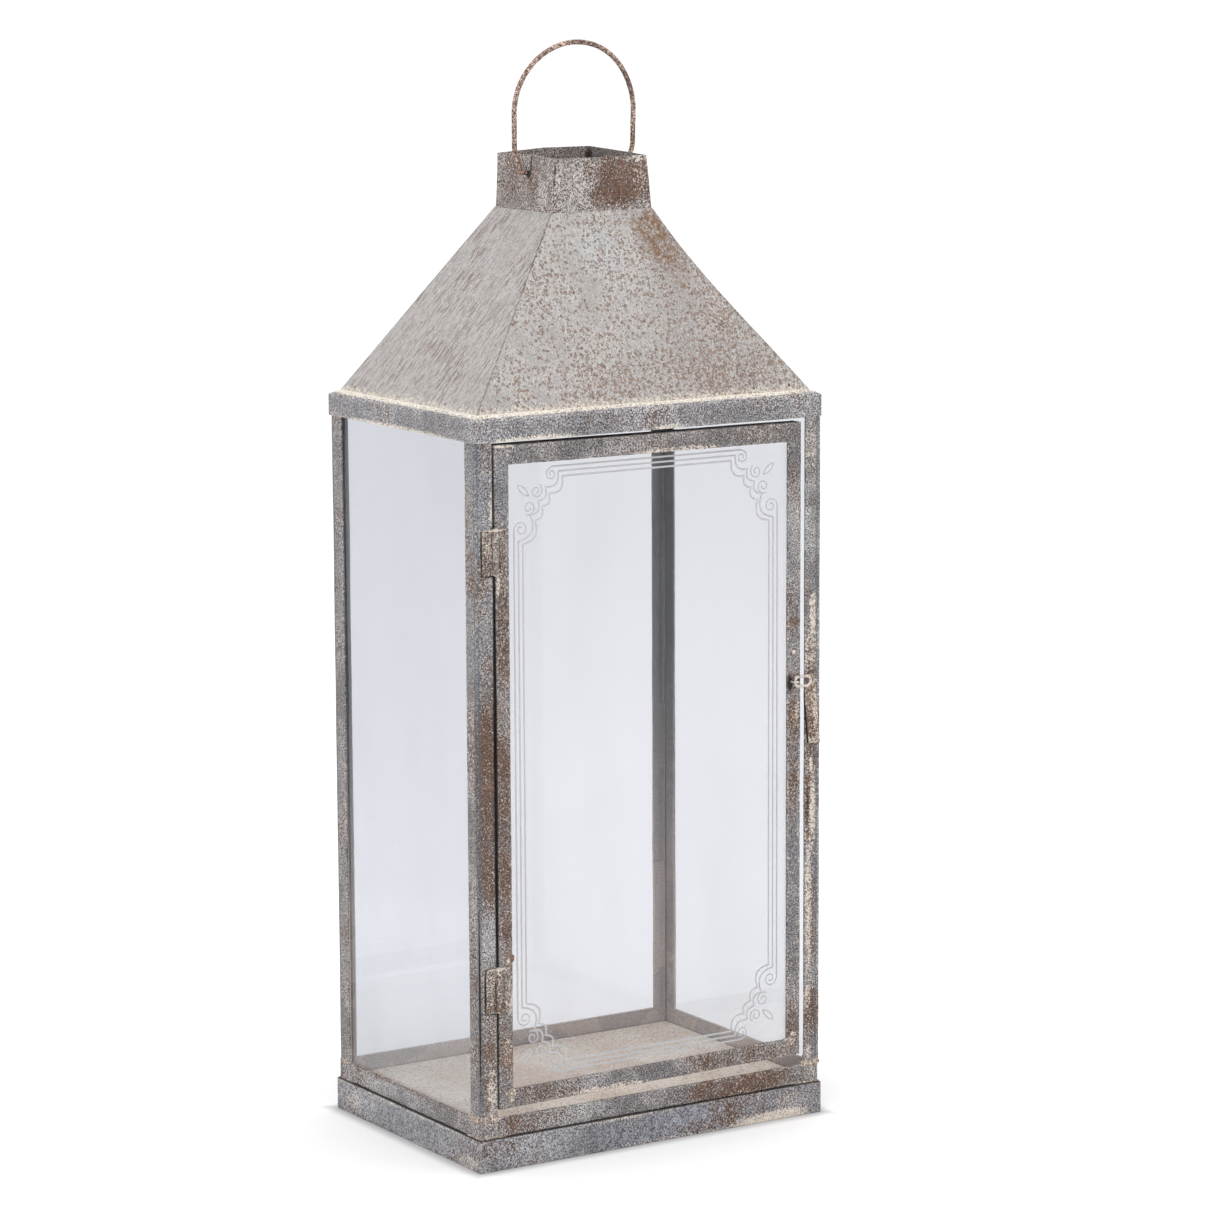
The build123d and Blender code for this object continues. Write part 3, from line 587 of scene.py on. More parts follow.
def make_materials():
    """One material for each of the record's slots, and one for the solder."""
    grey, shadow = (0.330, 0.318, 0.318), (0.160, 0.150, 0.152)
    # Painted shade in the gap between the hinge post and the door.
    gap_shade = [((stile_low.x / MM - 0.65, -84, 240), (2.2, 8, 300), 1.3)]
    return {
        "plinth_zinc": weathered(
            "plinth_zinc", (0.290, 0.285, 0.300), (0.180, 0.178, 0.195),
            grain=0.38, brown=0.005, streak=0.5,
            brown_areas=[((70, -88, 10), (70, 10, 16), 0.06), ((-20, -88, 6), (30, 8, 12), 0.04),
                         ((-112, -88, 12), (18, 8, 12), 0.05), ((-125, -70, 8), (8, 22, 12), 0.05)],
            dust_and_highlight_areas=[((88, -88, 2), (40, 8, 6), 0.18), ((-30, -88, 19), (40, 6, 2), 0.10),
                         ((104, -88, 10), (24, 8, 9), 0.06), ((-125, -74, 4), (8, 18, 7), 0.12),
                         ((-125, 66, 10), (8, 16, 9), 0.12), ((-125, 0, 19), (8, 90, 2.4), 0.08),
                         ((0, -88, 0), (140, 8, 3), 0.05)],
            clean_areas=[((-66, -88, 10), (60, 12, 18), 0.8), ((-125, 6, 10), (12, 80, 18), 0.8),
                         ((20, -88, 12), (40, 12, 6), 0.6)],
            # Painted light: the plinth's left face a little lighter.
            painted_light_areas=[((-125, 0, 10), (6, 130, 24), 0.10)],
            # Painted shade: a dark line round the plinth's top, under the lower rail.
            shade_and_seam_areas=[((0, 0, 20.3), (900, 900, 1.3), 0.95)]),
        "frame_zinc": weathered(
            "frame_zinc", grey, shadow, brown=0.02, cream=0.0, streak=0.4,
            # Inside tones: a light dusty pink low down for painted light and dust, a dark blue painted shade up
            # high.
            inner=((0.98, 0.84, 0.76), (0.135, 0.148, 0.172)),
            brown_areas=[((-116, -86, 232), (14, 6, 104), 0.16), ((-117, -86, 62), (9, 6, 42), 0.08),
                         ((-119, -86, 432), (8, 6, 14), 0.06), ((-123.5, -80, 90), (8, 10, 90), 0.04),
                         ((118, -86, 292), (8, 10, 24), 0.10), ((115, -86, 334), (3, 8, 12), 0.10),
                         ((118, -86, 228), (8, 10, 16), 0.08), ((118, -86, 60), (9, 14, 30), 0.09),
                         ((115.4, -86, 196), (2.6, 8, 26), 0.22), ((117, -86, 177), (3.4, 8, 6), 0.16),
                         ((120, -86, 140), (4, 8, 60), 0.09),
                         ((60, -86, 26), (70, 8, 12), 0.13), ((-90, -86, 28), (34, 6, 9), 0.07),
                         ((-123, 0, 32), (5, 95, 3), 0.10)],
            dust_and_highlight_areas=[((-112.5, -86, 402), (2.2, 4, 15), 0.12), ((-115, -86, 50), (5, 6, 24), 0.12),
                         ((-118, -86, 26), (14, 14, 14), 0.07), ((-121, -86, 122), (3, 6, 14), 0.07),
                         ((118, -86, 424), (8, 12, 26), 0.10), ((119.5, -86, 322), (4, 8, 20), 0.14),
                         ((118, -86, 300), (8, 10, 22), 0.08), ((118, -86, 225), (1.6, 4, 6), 0.16),
                         ((119.5, -86, 198), (4, 10, 34), 0.12), ((116.5, -86, 132), (3.6, 10, 66), 0.11),
                         ((116, -86, 76), (3.4, 8, 10), 0.12), ((116.5, -86, 40), (3.4, 6, 7), 0.12),
                         ((120, -86, 27), (7, 12, 9), 0.08)],
            clean_areas=[((-40, -86, 26), (60, 6, 10), 0.5), ((-123, 10, 26), (6, 70, 9), 0.7),
                         ((-117, -86, 144), (10, 6, 20), 0.8), ((-117, -86, 395), (9, 6, 40), 0.5),
                         ((118, -86, 370), (9, 8, 42), 1.0)],
            # Painted shade: the hinge-side gap, shadows round the hinges' post leaves, a line up the near left
            # corner and a narrow dark streak on the latch post.
            shade_and_seam_areas=gap_shade + hinge_shadows() + [
                ((-123.2, -86.2, 105), (1.0, 1.0, 90), 1.0),
                ((115.6, -87, 198), (1.3, 3, 18), 0.45)]),
        "band_zinc": weathered(
            "band_zinc", (0.330, 0.325, 0.335), (0.175, 0.170, 0.180), brown=0.0, streak=0.15,
            dust=(0.86, 0.79, 0.69),
            dust_and_highlight_areas=[((0, 0, 458.0), (900, 900, 2.0), 0.17), ((-82, -87, 443), (40, 6, 3), 0.14),
                         ((12, -87, 443), (16, 6, 3), 0.14), ((-124, 0, 443), (6, 90, 2.6), 0.12)],
            brown_areas=[((60, -87, 450), (50, 6, 8), 0.05), ((-40, -87, 450), (34, 6, 8), 0.06),
                         ((-124, -50, 450), (6, 30, 8), 0.04)]),
        "roof_zinc": roof_coat("roof_zinc"),
        "collar_zinc": weathered(
            "collar_zinc", (0.370, 0.340, 0.330), (0.205, 0.182, 0.174), grain=0.46, brown=0.02, streak=0.7,
            dust=(0.72, 0.67, 0.62),
            brown_areas=[((20, -33, 594), (30, 9, 28), 0.17), ((4, -33, 579), (17, 8, 12), 0.08),
                         ((-34, 16, 588), (8, 20, 24), 0.08), ((-35, -10, 586), (6, 8, 20), 0.07)],
            rust_areas=[((20, -33, 592), (18, 8, 18), 0.35), ((-35, -6, 588), (4, 5, 10), 0.9)],
            clean_areas=[((-22, -33, 586), (16, 8, 20), 0.6), ((-35, -22, 586), (6, 8, 20), 0.4)],
            dust_and_highlight_areas=[((24, -33, 602), (16, 6, 4), 0.07), ((28, -33, 592), (9, 8, 20), 0.06),
                         ((-26, -33, 574), (12, 6, 12), 0.05)],
            # Painted shade: the bail wire's shadow and its dark hole on the left face, and a black recess in the
            # back corner. The two narrow areas at the front-left corner are its dark seam.
            shade_and_seam_areas=[((-34, -3.5, 592), (4, 3.2, 4), 0.95), ((-33, -5.2, 599), (4, 1.5, 11), 0.85),
                        ((-33.2, -33, 597), (1.0, 1.6, 7), 0.9), ((-34.2, -33, 589), (1.0, 1.6, 6), 0.8),
                        ((31, 31, 597), (3.4, 3.4, 12), 0.9)]),
        "floor_sheet": floor_dust("floor_sheet"),
        "door_zinc": weathered(
            "door_zinc", (0.300, 0.285, 0.285), (0.145, 0.134, 0.136), brown=0.025, cream=0.0, streak=0.4,
            brown_areas=[((80, -86, 434), (40, 6, 10), 0.05), ((-105, -86, 205), (9, 8, 100), 0.10),
                         ((-104, -86, 72), (7, 8, 30), 0.07), ((-83, -86, 44), (26, 6, 10), 0.06),
                         ((65, -86, 44), (46, 6, 10), 0.05), ((104, -86, 410), (7, 6, 12), 0.08),
                         ((-105, -86, 330), (8, 6, 46), 0.14),
                         ((101, -86, 330), (5, 6, 10), 0.08), ((104, -86, 315), (8, 6, 5), 0.13),
                         ((104, -86, 228), (8, 6, 60), 0.07), ((103, -86, 128), (5, 6, 6), 0.06),
                         ((103, -86, 98), (5, 6, 7), 0.06), ((104, -86, 58), (9, 6, 20), 0.11)],
            dust_and_highlight_areas=[((20, -86, 429), (46, 5, 2.6), 0.12), ((-30, -86, 39.5), (40, 5, 3.4), 0.16),
                         ((-105, -86, 440), (9, 5, 2), 0.15), ((-103.2, -86, 128), (1.8, 4, 3.0), 0.20),
                         ((-102, -86, 106), (2.6, 4, 18), 0.10), ((-108, -86, 356), (2.2, 4, 9), 0.12),
                         ((-102, -86, 44), (4, 4, 6), 0.10), ((-104, -86, 70), (4, 5, 22), 0.08),
                         ((82, -86, 436), (32, 6, 8), 0.05), ((107, -86, 382), (2.2, 4, 7), 0.14),
                         ((107.4, -86, 259), (2.0, 4, 11), 0.11),
                         # The small solid cream dot at 296.4 mm is a painted glint.
                         ((105, -87, 296.4), (1.5, 3, 1.5), 0.60), ((105, -86, 53), (3.4, 4, 4), 0.13)],
            rust_areas=[((-104, -86, 72), (5, 5, 14), 0.7), ((-102.5, -86, 128), (4, 5, 10), 0.9),
                        # The rust patch at the latch ring, near 102.3 mm, stands for rust and for the ring's
                        # painted shadow.
                        ((-104, -86, 302), (2.4, 4, 8), 0.7), ((102.3, -86, 277), (4, 4, 9), 1.0),
                        ((104.8, -86, 257), (3, 4, 2.8), 0.9), ((104, -86, 315), (5, 4, 3), 0.6)],
            clean_areas=[((-50, -86, 434), (56, 6, 9), 0.4), ((-16, -86, 44), (56, 6, 9), 0.7),
                         ((-105, -86, 416), (8, 6, 26), 0.7), ((104, -86, 364), (8, 6, 36), 0.9),
                         ((104, -86, 140), (8, 6, 44), 0.4)],
            # Painted shade: the hinge-side gap, the top rail's upper face under the band, the latch ring's shadow
            # on the stile and the dark inside the ring.
            shade_and_seam_areas=gap_shade + [((0, -82, 440.6), (160, 8, 1.3), 1.0),
                              ((102.0, -86, 277.0), (3.0, 4, 8.0), 1.1),
                              ((107.5, -86, 278.5), (3, 4, 2.6), 1.0)]),
        "hinge_steel": weathered(
            "hinge_steel", (0.370, 0.330, 0.305), (0.150, 0.122, 0.108), grain=0.7, brown=0.06, cream=0.0,
            edge_dust=0.07,
            brown_areas=[((-106, -88, 372), (6, 6, 14), 0.06), ((-111, -88, 100), (9, 6, 8), 0.06)],
            # The thin cream bands at 391 and 125 mm are painted highlights along the leaves' top edges.
            dust_and_highlight_areas=[((-111, -88, 391), (9, 6, 1.6), 0.2), ((-111, -88, 125), (9, 6, 1.6), 0.2),
                         ((-104, -88, 114), (4, 6, 14), 0.05), ((-114, -88, 382), (4, 6, 8), 0.05)]),
        "latch_steel": weathered(
            "latch_steel", (0.380, 0.300, 0.250), (0.150, 0.110, 0.092), grain=0.6, brown=0.05, cream=0.0,
            dust_and_highlight_areas=[((119.5, -89, 262), (3.0, 6, 30), 0.09), ((117, -89, 240), (6, 8, 3), 0.08)],
            # Painted shadow along the tongue's left edge.
            shade_and_seam_areas=[((112.2, -89, 250), (1.0, 8, 36), 1.1)]),
        "latch_wire": weathered(
            "latch_wire", (0.720, 0.620, 0.550), (0.500, 0.420, 0.370), grain=0.16, brown=-0.04, cream=0.0,
            # Painted shade inside the loop.
            metallic=0.3, shade_and_seam_areas=[((109.6, -88, 278), (2.2, 2, 2.6), 0.5)]),
        "bail_wire": weathered(
            "bail_wire", (0.460, 0.340, 0.285), (0.120, 0.080, 0.066), grain=0.6, brown=0.05, cream=0.0,
            metallic=0.3),
        "tab_steel": weathered(
            "tab_steel", (0.330, 0.315, 0.310), (0.180, 0.170, 0.168), grain=0.3, brown=0.0),
        "clear_glass": window_glass("clear_glass", (0.752, 0.765, 0.796), 0.96),
        "etched_glass": door_window_glass("etched_glass", (0.895, 0.890, 0.905), 0.97),
        "etching": frosted("etching"),
        "solder": solder("solder"),
    }


# --- sections, skins and pieces ---

def outline(corners, radii, guard=1.5 * MM, steps=3):
    """Points round a section with its corners rounded, as (u, v, wear).

    Wear is 1 on an outer corner, -1 in an inner one and 0 on the flats beside them.
    """
    points = []
    count = len(corners)
    for i, (corner, radius) in enumerate(zip(corners, radii)):
        here = Vector(corner)
        before, after = Vector(corners[i - 1]), Vector(corners[(i + 1) % count])
        back, ahead = (before - here), (after - here)
        half_turn = back.angle(ahead) / 2
        reach = radius / math.tan(half_turn)
        outer = back.x * ahead.y - back.y * ahead.x > 0
        wear = 1.0 if outer else -1.0
        if back.length > 2 * (reach + guard):
            points.append((*(here + back.normalized() * (reach + guard)), 0.0))
        middle = (back.normalized() + ahead.normalized()).normalized()
        centre = here + middle * radius / math.sin(half_turn)
        first, last = here + back.normalized() * reach - centre, here + ahead.normalized() * reach - centre
        sweep = first.angle_signed(last)
        for step in range(steps + 1):
            turn = -sweep * step / steps
            arm = Matrix.Rotation(turn, 2) @ first
            points.append((*(centre + arm), wear))
        if ahead.length > 2 * (reach + guard):
            points.append((*(here + ahead.normalized() * (reach + guard)), 0.0))
    return points


def skin(name, rings, wears, ring_closed=False):
    """A mesh over a row of rings of points. The ends are capped, or joined if ring_closed."""
    mesh = bmesh.new()
    layer = mesh.verts.layers.float.new("wear")
    rows = []
    for ring, wear in zip(rings, wears):
        row = []
        for point, value in zip(ring, wear):
            vertex = mesh.verts.new(point)
            vertex[layer] = value
            row.append(vertex)
        rows.append(row)
    pairs = list(zip(rows, rows[1:])) + ([(rows[-1], rows[0])] if ring_closed else [])
    for one, other in pairs:
        for k in range(len(one)):
            mesh.faces.new((one[k - 1], one[k], other[k], other[k - 1]))
    if not ring_closed:
        mesh.faces.new(rows[0])
        mesh.faces.new(list(reversed(rows[-1])))
    return finished_mesh(name, mesh)


def finished_mesh(name, mesh, sharp_over=40):
    """Turns a bmesh into a linked object with smooth shading up to an angle."""
    bmesh.ops.recalc_face_normals(mesh, faces=mesh.faces)
    data = bpy.data.meshes.new(name)
    mesh.to_mesh(data)
    mesh.free()
    data.polygons.foreach_set("use_smooth", [True] * len(data.polygons))
    data.set_sharp_from_angle(angle=math.radians(sharp_over))
    piece = bpy.data.objects.new(name, data)
    bpy.context.scene.collection.objects.link(piece)
    return piece


def unit(value):
    """The value kept between 0 and 1."""
    return min(max(value, 0.0), 1.0)


def keep_in_cad_box(vertex):
    for axis in range(3):
        vertex.co[axis] = min(max(vertex.co[axis], cad_low[axis]), cad_high[axis])


def run_of_section(name, section, length, inset, place):
    """A section carried along a straight run. inset(u, v) shortens each end, place sets it in the frame."""
    count = max(2, int(length / STATION))
    rings, wears = [], []
    for i in range(count + 1):
        share = i / count
        ring = []
        for u, v, _ in section:
            cut = inset(u, v)
            ring.append(place(cut + (length - 2 * cut) * share, u, v))
        rings.append(ring)
        wears.append([wear for _, _, wear in section])
    return skin(name, rings, wears)


def wobble(piece, seed, amount=0.16 * MM, size=45 * MM, extra=None):
    """Makes a piece slightly uneven, as bent by hand, without leaving the CAD box."""
    shift = Vector((seed * 1.7, seed * 0.9, seed * 2.3))
    for vertex in piece.data.vertices:
        place = vertex.co.copy()
        if extra:
            vertex.co = extra(place)
        vertex.co += amount * noise.noise_vector(place / size + shift)
        vertex.co += 0.35 * amount * noise.noise_vector(place / (size / 6) + shift)
        keep_in_cad_box(vertex)


def finish_piece(piece, body, slot, replaced=(), material=None):
    piece.data.materials.clear()
    piece.data.materials.append(MATERIALS[material or slot])
    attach(piece, body)
    if replaced:
        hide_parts(*replaced)
    return piece


SIDES = {"front": 0, "right": 90, "back": 180, "left": -90}


def four_strips(stem, slot, section, half_width, half_depth, seed, extra=None):
    """Four mitred strips round a rectangle. The section's u is the depth inwards, v the level."""
    for number, (side, degrees) in enumerate(SIDES.items()):
        turn = Matrix.Rotation(math.radians(degrees), 3, "Z")
        long_side = side in ("front", "back")
        half_length, distance = (half_width, half_depth) if long_side else (half_depth, half_width)

        def place(s, u, v):
            return turn @ Vector((s - half_length, u - distance, v))

        piece = run_of_section(f"{stem}_{side}_skin", section, 2 * half_length, lambda u, v: u, place)
        wobble(piece, seed + number, extra=extra)
        finish_piece(piece, "root", slot, [f"{stem}_{side}"])


def angle_section(low, high, flange, wall, flange_on_top, radius=0.8 * MM):
    """An L with its upright on the outer face and a flange inwards at its top or bottom."""
    if flange_on_top:
        corners = [(0, low), (0, high), (flange, high), (flange, high - wall),
                   (wall, high - wall), (wall, low)]
        radii = [CUT_EDGE, radius] + 4 * [CUT_EDGE]
    else:
        corners = [(0, low), (0, high), (wall, high), (wall, low + wall),
                   (flange, low + wall), (flange, low)]
        radii = [radius] + 5 * [CUT_EDGE]
    return outline(corners, radii)


def upright_section(width, depth, fold, tip=CUT_EDGE, lift=0.0):
    """An L folded at (0, 0), with a leg of width along u and one of depth along v."""
    wall = angle_wall
    corners = [(0, 0), (0, depth), (wall, depth), (wall, wall + lift), (width, wall), (width, 0)]
    return outline(corners, [fold] + 4 * [CUT_EDGE] + [tip])


def add_base_and_rails():
    plinth = angle_section(plinth_low.z, plinth_high.z, 14 * MM, angle_wall, True)
    four_strips("plinth", "plinth_zinc", plinth, -plinth_low.x, -plinth_low.y, 10)
    lower = angle_section(rail_low.z, rail_high.z, angle_leg, angle_wall, False)
    four_strips("lower_rail", "frame_zinc", lower, frame_half_width, frame_half_depth, 20)
    upper = angle_section(beam_low.z, beam_high.z, angle_leg, angle_wall, True)
    four_strips("upper_rail", "band_zinc", upper, frame_half_width, frame_half_depth, 30)


def band_lean(place):
    """The front roof band's lower edge drops slightly towards the latch side."""
    slope = 0.0025 if place.y < 0 else 0.0
    low_share = max(0.0, (band_high.z - place.z) / (band_high.z - band_low.z))
    return place - UP * (slope * (place.x + frame_half_width) * low_share)


def add_roof_band():
    top = beam_high.z
    bend, lip = 5.5 * MM, 9.0 * MM
    corners = [
        (0, band_low.z),
        (0, top + sheet_wall),
        (bend, band_high.z),
        (lip, band_high.z),
        (lip, band_high.z - sheet_wall),
        (bend, band_high.z - sheet_wall),
        (sheet_wall, top),
        (sheet_wall, band_low.z),
    ]
    section = outline(corners, [CUT_EDGE, 0.9 * MM] + 6 * [CUT_EDGE], guard=1.0 * MM)
    four_strips("roof_band", "band_zinc", section, -band_low.x, -band_low.y, 40, extra=band_lean)


def latch_side_spread(place):
    """The frame's front corner at the latch side stands out a little."""
    spread = 1.3 * MM if place.y < 0 else 0.0
    share = (place.x - latch_post_low.x) / (frame_half_width - latch_post_low.x)
    return place + Vector((spread * max(0.0, share), 0, 0))


def add_posts():
    length = post_high.z - post_low.z
    places = {
        "front_left": (-1, -1, angle_leg),
        "front_right": (1, -1, frame_half_width - latch_post_low.x),
        "back_left": (-1, 1, angle_leg),
        "back_right": (1, 1, angle_leg),
    }
    for number, (corner, (sx, sy, leg)) in enumerate(places.items()):
        section = upright_section(leg, angle_leg, 0.9 * MM)

        def place(s, u, v):
            return Vector((sx * (frame_half_width - u), sy * (frame_half_depth - v), post_low.z + s))

        piece = run_of_section(f"corner_post_{corner}_skin", section, length, lambda u, v: 0, place)
        wobble(piece, 50 + number, amount=0.2 * MM, extra=latch_side_spread)
        finish_piece(piece, "root", "frame_zinc", [f"corner_post_{corner}"])


def door_lean(place):
    """The door's ends aren't quite square: its foot rises and its top drops towards the latch."""
    foot_slope, top_slope = 0.0105, 0.006
    eighths = 8 * unit((place.z - stile_low.z) / (stile_high.z - stile_low.z))
    slope = foot_slope * max(0.0, 1 - eighths) - top_slope * max(0.0, eighths - 7)
    return place + UP * (slope * place.x)


def add_door():
    fold, tip = 0.7 * MM, 0.5 * MM
    depth = stile_high.y - stile_low.y
    length = stile_high.z - stile_low.z
    sides = {"left": (1, stile_low.x), "right": (-1, far_stile_high.x)}
    for number, (side, (direction, outer)) in enumerate(sides.items()):
        section = upright_section(stile_width, depth, fold, tip)

        def place(s, u, v):
            return Vector((outer + direction * u, front_face + v, stile_low.z + s))

        piece = run_of_section(f"door_stile_{side}_skin", section, length, lambda u, v: 0, place)
        wobble(piece, 60 + number, amount=0.2 * MM, extra=door_lean)
        finish_piece(piece, "door", "door_zinc", [f"door_stile_{side}"])

    leg_left, leg_right = stile_low.x + angle_wall, far_stile_high.x - angle_wall
    butt = stile_width - angle_wall
    rails = {"top": (-1, top_rail_low, top_rail_high), "bottom": (1, bottom_rail_low, bottom_rail_high)}
    for number, (end, (inwards, low, high)) in enumerate(rails.items()):
        outer, width = high.z if inwards < 0 else low.z, high.z - low.z
        section = upright_section(width, depth, fold, tip, lift=0.02 * MM)

        def place(s, u, v):
            return Vector((leg_left + s, front_face + v, outer + inwards * u))

        def inset(u, v):
            return butt if v <= angle_wall + 0.01 * MM else 0.0

        piece = run_of_section(f"door_rail_{end}_skin", section, leg_right - leg_left, inset, place)
        wobble(piece, 64 + number, amount=0.2 * MM, extra=door_lean)
        finish_piece(piece, "door", "door_zinc", [f"door_rail_{end}"])


def cad_copy(node, spacing=None):
    """A welded copy of a CAD node's mesh, cut across every spacing metres so that it can bend."""
    mesh = bmesh.new()
    mesh.from_mesh(frame["nodes"][node].data)
    bmesh.ops.remove_doubles(mesh, verts=mesh.verts, dist=0.005 * MM)
    bmesh.ops.dissolve_limit(mesh, angle_limit=math.radians(0.5), verts=mesh.verts, edges=mesh.edges)
    if spacing:
        low, high = span(node)
        for axis in range(3):
            steps = int((high[axis] - low[axis]) / spacing)
            normal = Vector([float(k == axis) for k in range(3)])
            for i in range(1, steps + 1):
                level = low.lerp(high, i / (steps + 1))
                parts = mesh.verts[:] + mesh.edges[:] + mesh.faces[:]
                bmesh.ops.bisect_plane(mesh, geom=parts, plane_co=level, plane_no=normal)
    return mesh


def roof_warp(place):
    """The front hip at the latch side is dented inwards, most a little above half its height."""
    deepest = 3.6 * MM
    rise = unit((place.z - roof_low.z) / (roof_high.z - roof_low.z))
    half_x = roof_high.x + (neck_half_width - roof_high.x) * rise
    half_y = -roof_low.y + (neck_half_depth + roof_low.y) * rise
    near = max(0.0, place.x / half_x) * max(0.0, -place.y / half_y)
    dent = deepest * math.sin(math.pi * rise ** 1.5) * near ** 2
    return place + Vector((-dent, 0.25 * dent, 0))


def add_roof():
    for number, side in enumerate(SIDES):
        piece = finished_mesh(f"roof_panel_{side}_skin", cad_copy(f"roof_panel_{side}", 9 * MM), 20)
        wobble(piece, 70 + number, amount=0.3 * MM, size=70 * MM, extra=roof_warp)
        finish_piece(piece, "root", "roof_zinc", [f"roof_panel_{side}"])


def rounded_ring(half_x, half_y, radius, level, side_points=10, arc_points=4):
    """A rectangle with round corners at one level."""
    arcs = []
    for sx, sy, start in ((1, -1, -90), (1, 1, 0), (-1, 1, 90), (-1, -1, 180)):
        x, y = sx * (half_x - radius), sy * (half_y - radius)
        turns = [math.radians(start + 90 * k / arc_points) for k in range(arc_points + 1)]
        arcs.append([Vector((x + radius * math.cos(t), y + radius * math.sin(t), level)) for t in turns])
    ring = []
    for arc, following in zip(arcs, arcs[1:] + arcs[:1]):
        side = [arc[-1].lerp(following[0], k / side_points) for k in range(1, side_points)]
        ring += arc + side
    return ring


def rim_tilt(place):
    """The collar's rim is lower at the front; its back corner at the hinge side is bent out and down."""
    share = max(0.0, (place.z - neck_level) / (rim_level - neck_level))
    drop, slope = 0.35 * MM, 0.04
    corner_shift = Vector((-2.2 * MM, 0.4 * MM, -2.4 * MM))
    bent = max(0.0, -place.x / neck_half_width) * max(0.0, place.y / neck_half_depth) * share ** 2
    return place + UP * (share ** 2 * (slope * place.y - drop)) + corner_shift * bent


def add_collar():
    """A tapered sleeve with soft folds at its corners and the bail's two holes."""
    steps = 10
    rim_half_width = neck_half_width - 3.7 * MM

    def ring_at(share, inwards, radius):
        level = neck_level + (rim_level - neck_level) * share
        half_x = neck_half_width + (rim_half_width - neck_half_width) * share - inwards
        return rounded_ring(half_x, neck_half_depth - inwards, radius, level)

    shares = [k / steps for k in range(steps + 1)]
    rings = [ring_at(share, 0.0, 1.4 * MM) for share in shares]
    rings += [ring_at(share, sheet_wall, 0.6 * MM) for share in reversed(shares)]
    wears = [[float(k == steps)] * len(ring) for k, ring in enumerate(rings)]
    piece = skin("chimney_collar_skin", rings, wears, ring_closed=True)
    wobble(piece, 80, amount=0.25 * MM, size=30 * MM, extra=rim_tilt)
    cut_bail_holes(piece)
    finish_piece(piece, "root", "collar_zinc", ["chimney_collar"])


def cut_bail_holes(piece):
    """Drills straight through both sides of the collar at the bail's axis."""
    drill = bmesh.new()
    turn = Matrix.Rotation(math.radians(90), 4, "Y")
    place = Matrix.Translation((0, 0, bail_axis)) @ turn
    radius = wire_radius + 0.2 * MM
    bmesh.ops.create_cone(drill, cap_ends=True, segments=32, radius1=radius, radius2=radius,
                          depth=0.1, matrix=place)
    cutter = finished_mesh("bail_drill", drill)
    modifier = piece.modifiers.new("holes", "BOOLEAN")
    modifier.operation, modifier.object, modifier.solver = "DIFFERENCE", cutter, "EXACT"
    apply_modifiers(piece)
    bpy.data.objects.remove(cutter)


def apply_modifiers(piece):
    """Makes the modified mesh the piece's own."""
    graph = bpy.context.evaluated_depsgraph_get()
    made = bpy.data.meshes.new_from_object(piece.evaluated_get(graph), depsgraph=graph)
    made.name = piece.name
    piece.modifiers.clear()
    piece.data = made


def rounded_path(corners, radii, step=1.0 * MM):
    """Points along straight runs joined by arcs."""
    points = [corners[0]]
    for before, corner, after, radius in zip(corners, corners[1:], corners[2:], radii):
        back, ahead = (before - corner).normalized(), (after - corner).normalized()
        half_turn = back.angle(ahead) / 2
        reach = radius / math.tan(half_turn)
        centre = corner + (back + ahead).normalized() * radius / math.sin(half_turn)
        first, last = corner + back * reach - centre, corner + ahead * reach - centre
        sweep = first.angle(last)
        count = max(4, int(sweep * radius / step))
        for k in range(count + 1):
            turn = sweep * k / count
            arm = (math.sin(sweep - turn) * first + math.sin(turn) * last) / math.sin(sweep)
            points.append(centre + arm)
    return points + [corners[-1]]


def even_points(points, step):
    """The same path with points no further apart than step."""
    made = [points[0]]
    for one, other in zip(points, points[1:]):
        count = max(1, math.ceil((other - one).length / step))
        made += [one.lerp(other, k / count) for k in range(1, count + 1)]
    return made


def wire(name, points, radius, pits, seed, sides=14):
    """A round wire along points that lie in one upright plane, its surface pitted by rust."""
    rings, wears = [], []
    across = Vector((0, 1, 0))
    for i, point in enumerate(points):
        ahead = (points[min(i + 1, len(points) - 1)] - points[max(i - 1, 0)]).normalized()
        out = ahead.cross(across).normalized()
        end = min(i, len(points) - 1 - i)
        taper = min(1.0, 0.72 + 0.14 * end)
        ring = []
        for k in range(sides):
            turn = 2 * math.pi * k / sides
            arm = out * math.cos(turn) + across * math.sin(turn)
            pit = pits * noise.noise((point + arm * radius) * 420 + Vector((seed, 0, 0)))
            ring.append(point + arm * (radius * taper - abs(pit)))
        rings.append(ring)
        wears.append([0.0] * sides)
    return skin(name, rings, wears)


def bail_lean(place):
    """The bow stands a little towards the latch side and its hinge-side leg stands in."""
    if abs(place.x) < neck_half_width - 1 * MM and place.z < bail_axis + 12 * MM:
        return place
    leg_height, bow_height = 40 * MM, 36 * MM
    leg_lean, bow_lean = 1.2 * MM, 1.4 * MM
    height = place.z - bail_axis
    start = 1.0 * MM if place.x < 0 else 0.0
    rise, crown = unit(height / leg_height), unit((height - leg_height) / bow_height)
    return place + Vector((start + (leg_lean - start) * rise + bow_lean * crown ** 2, 0, 0))


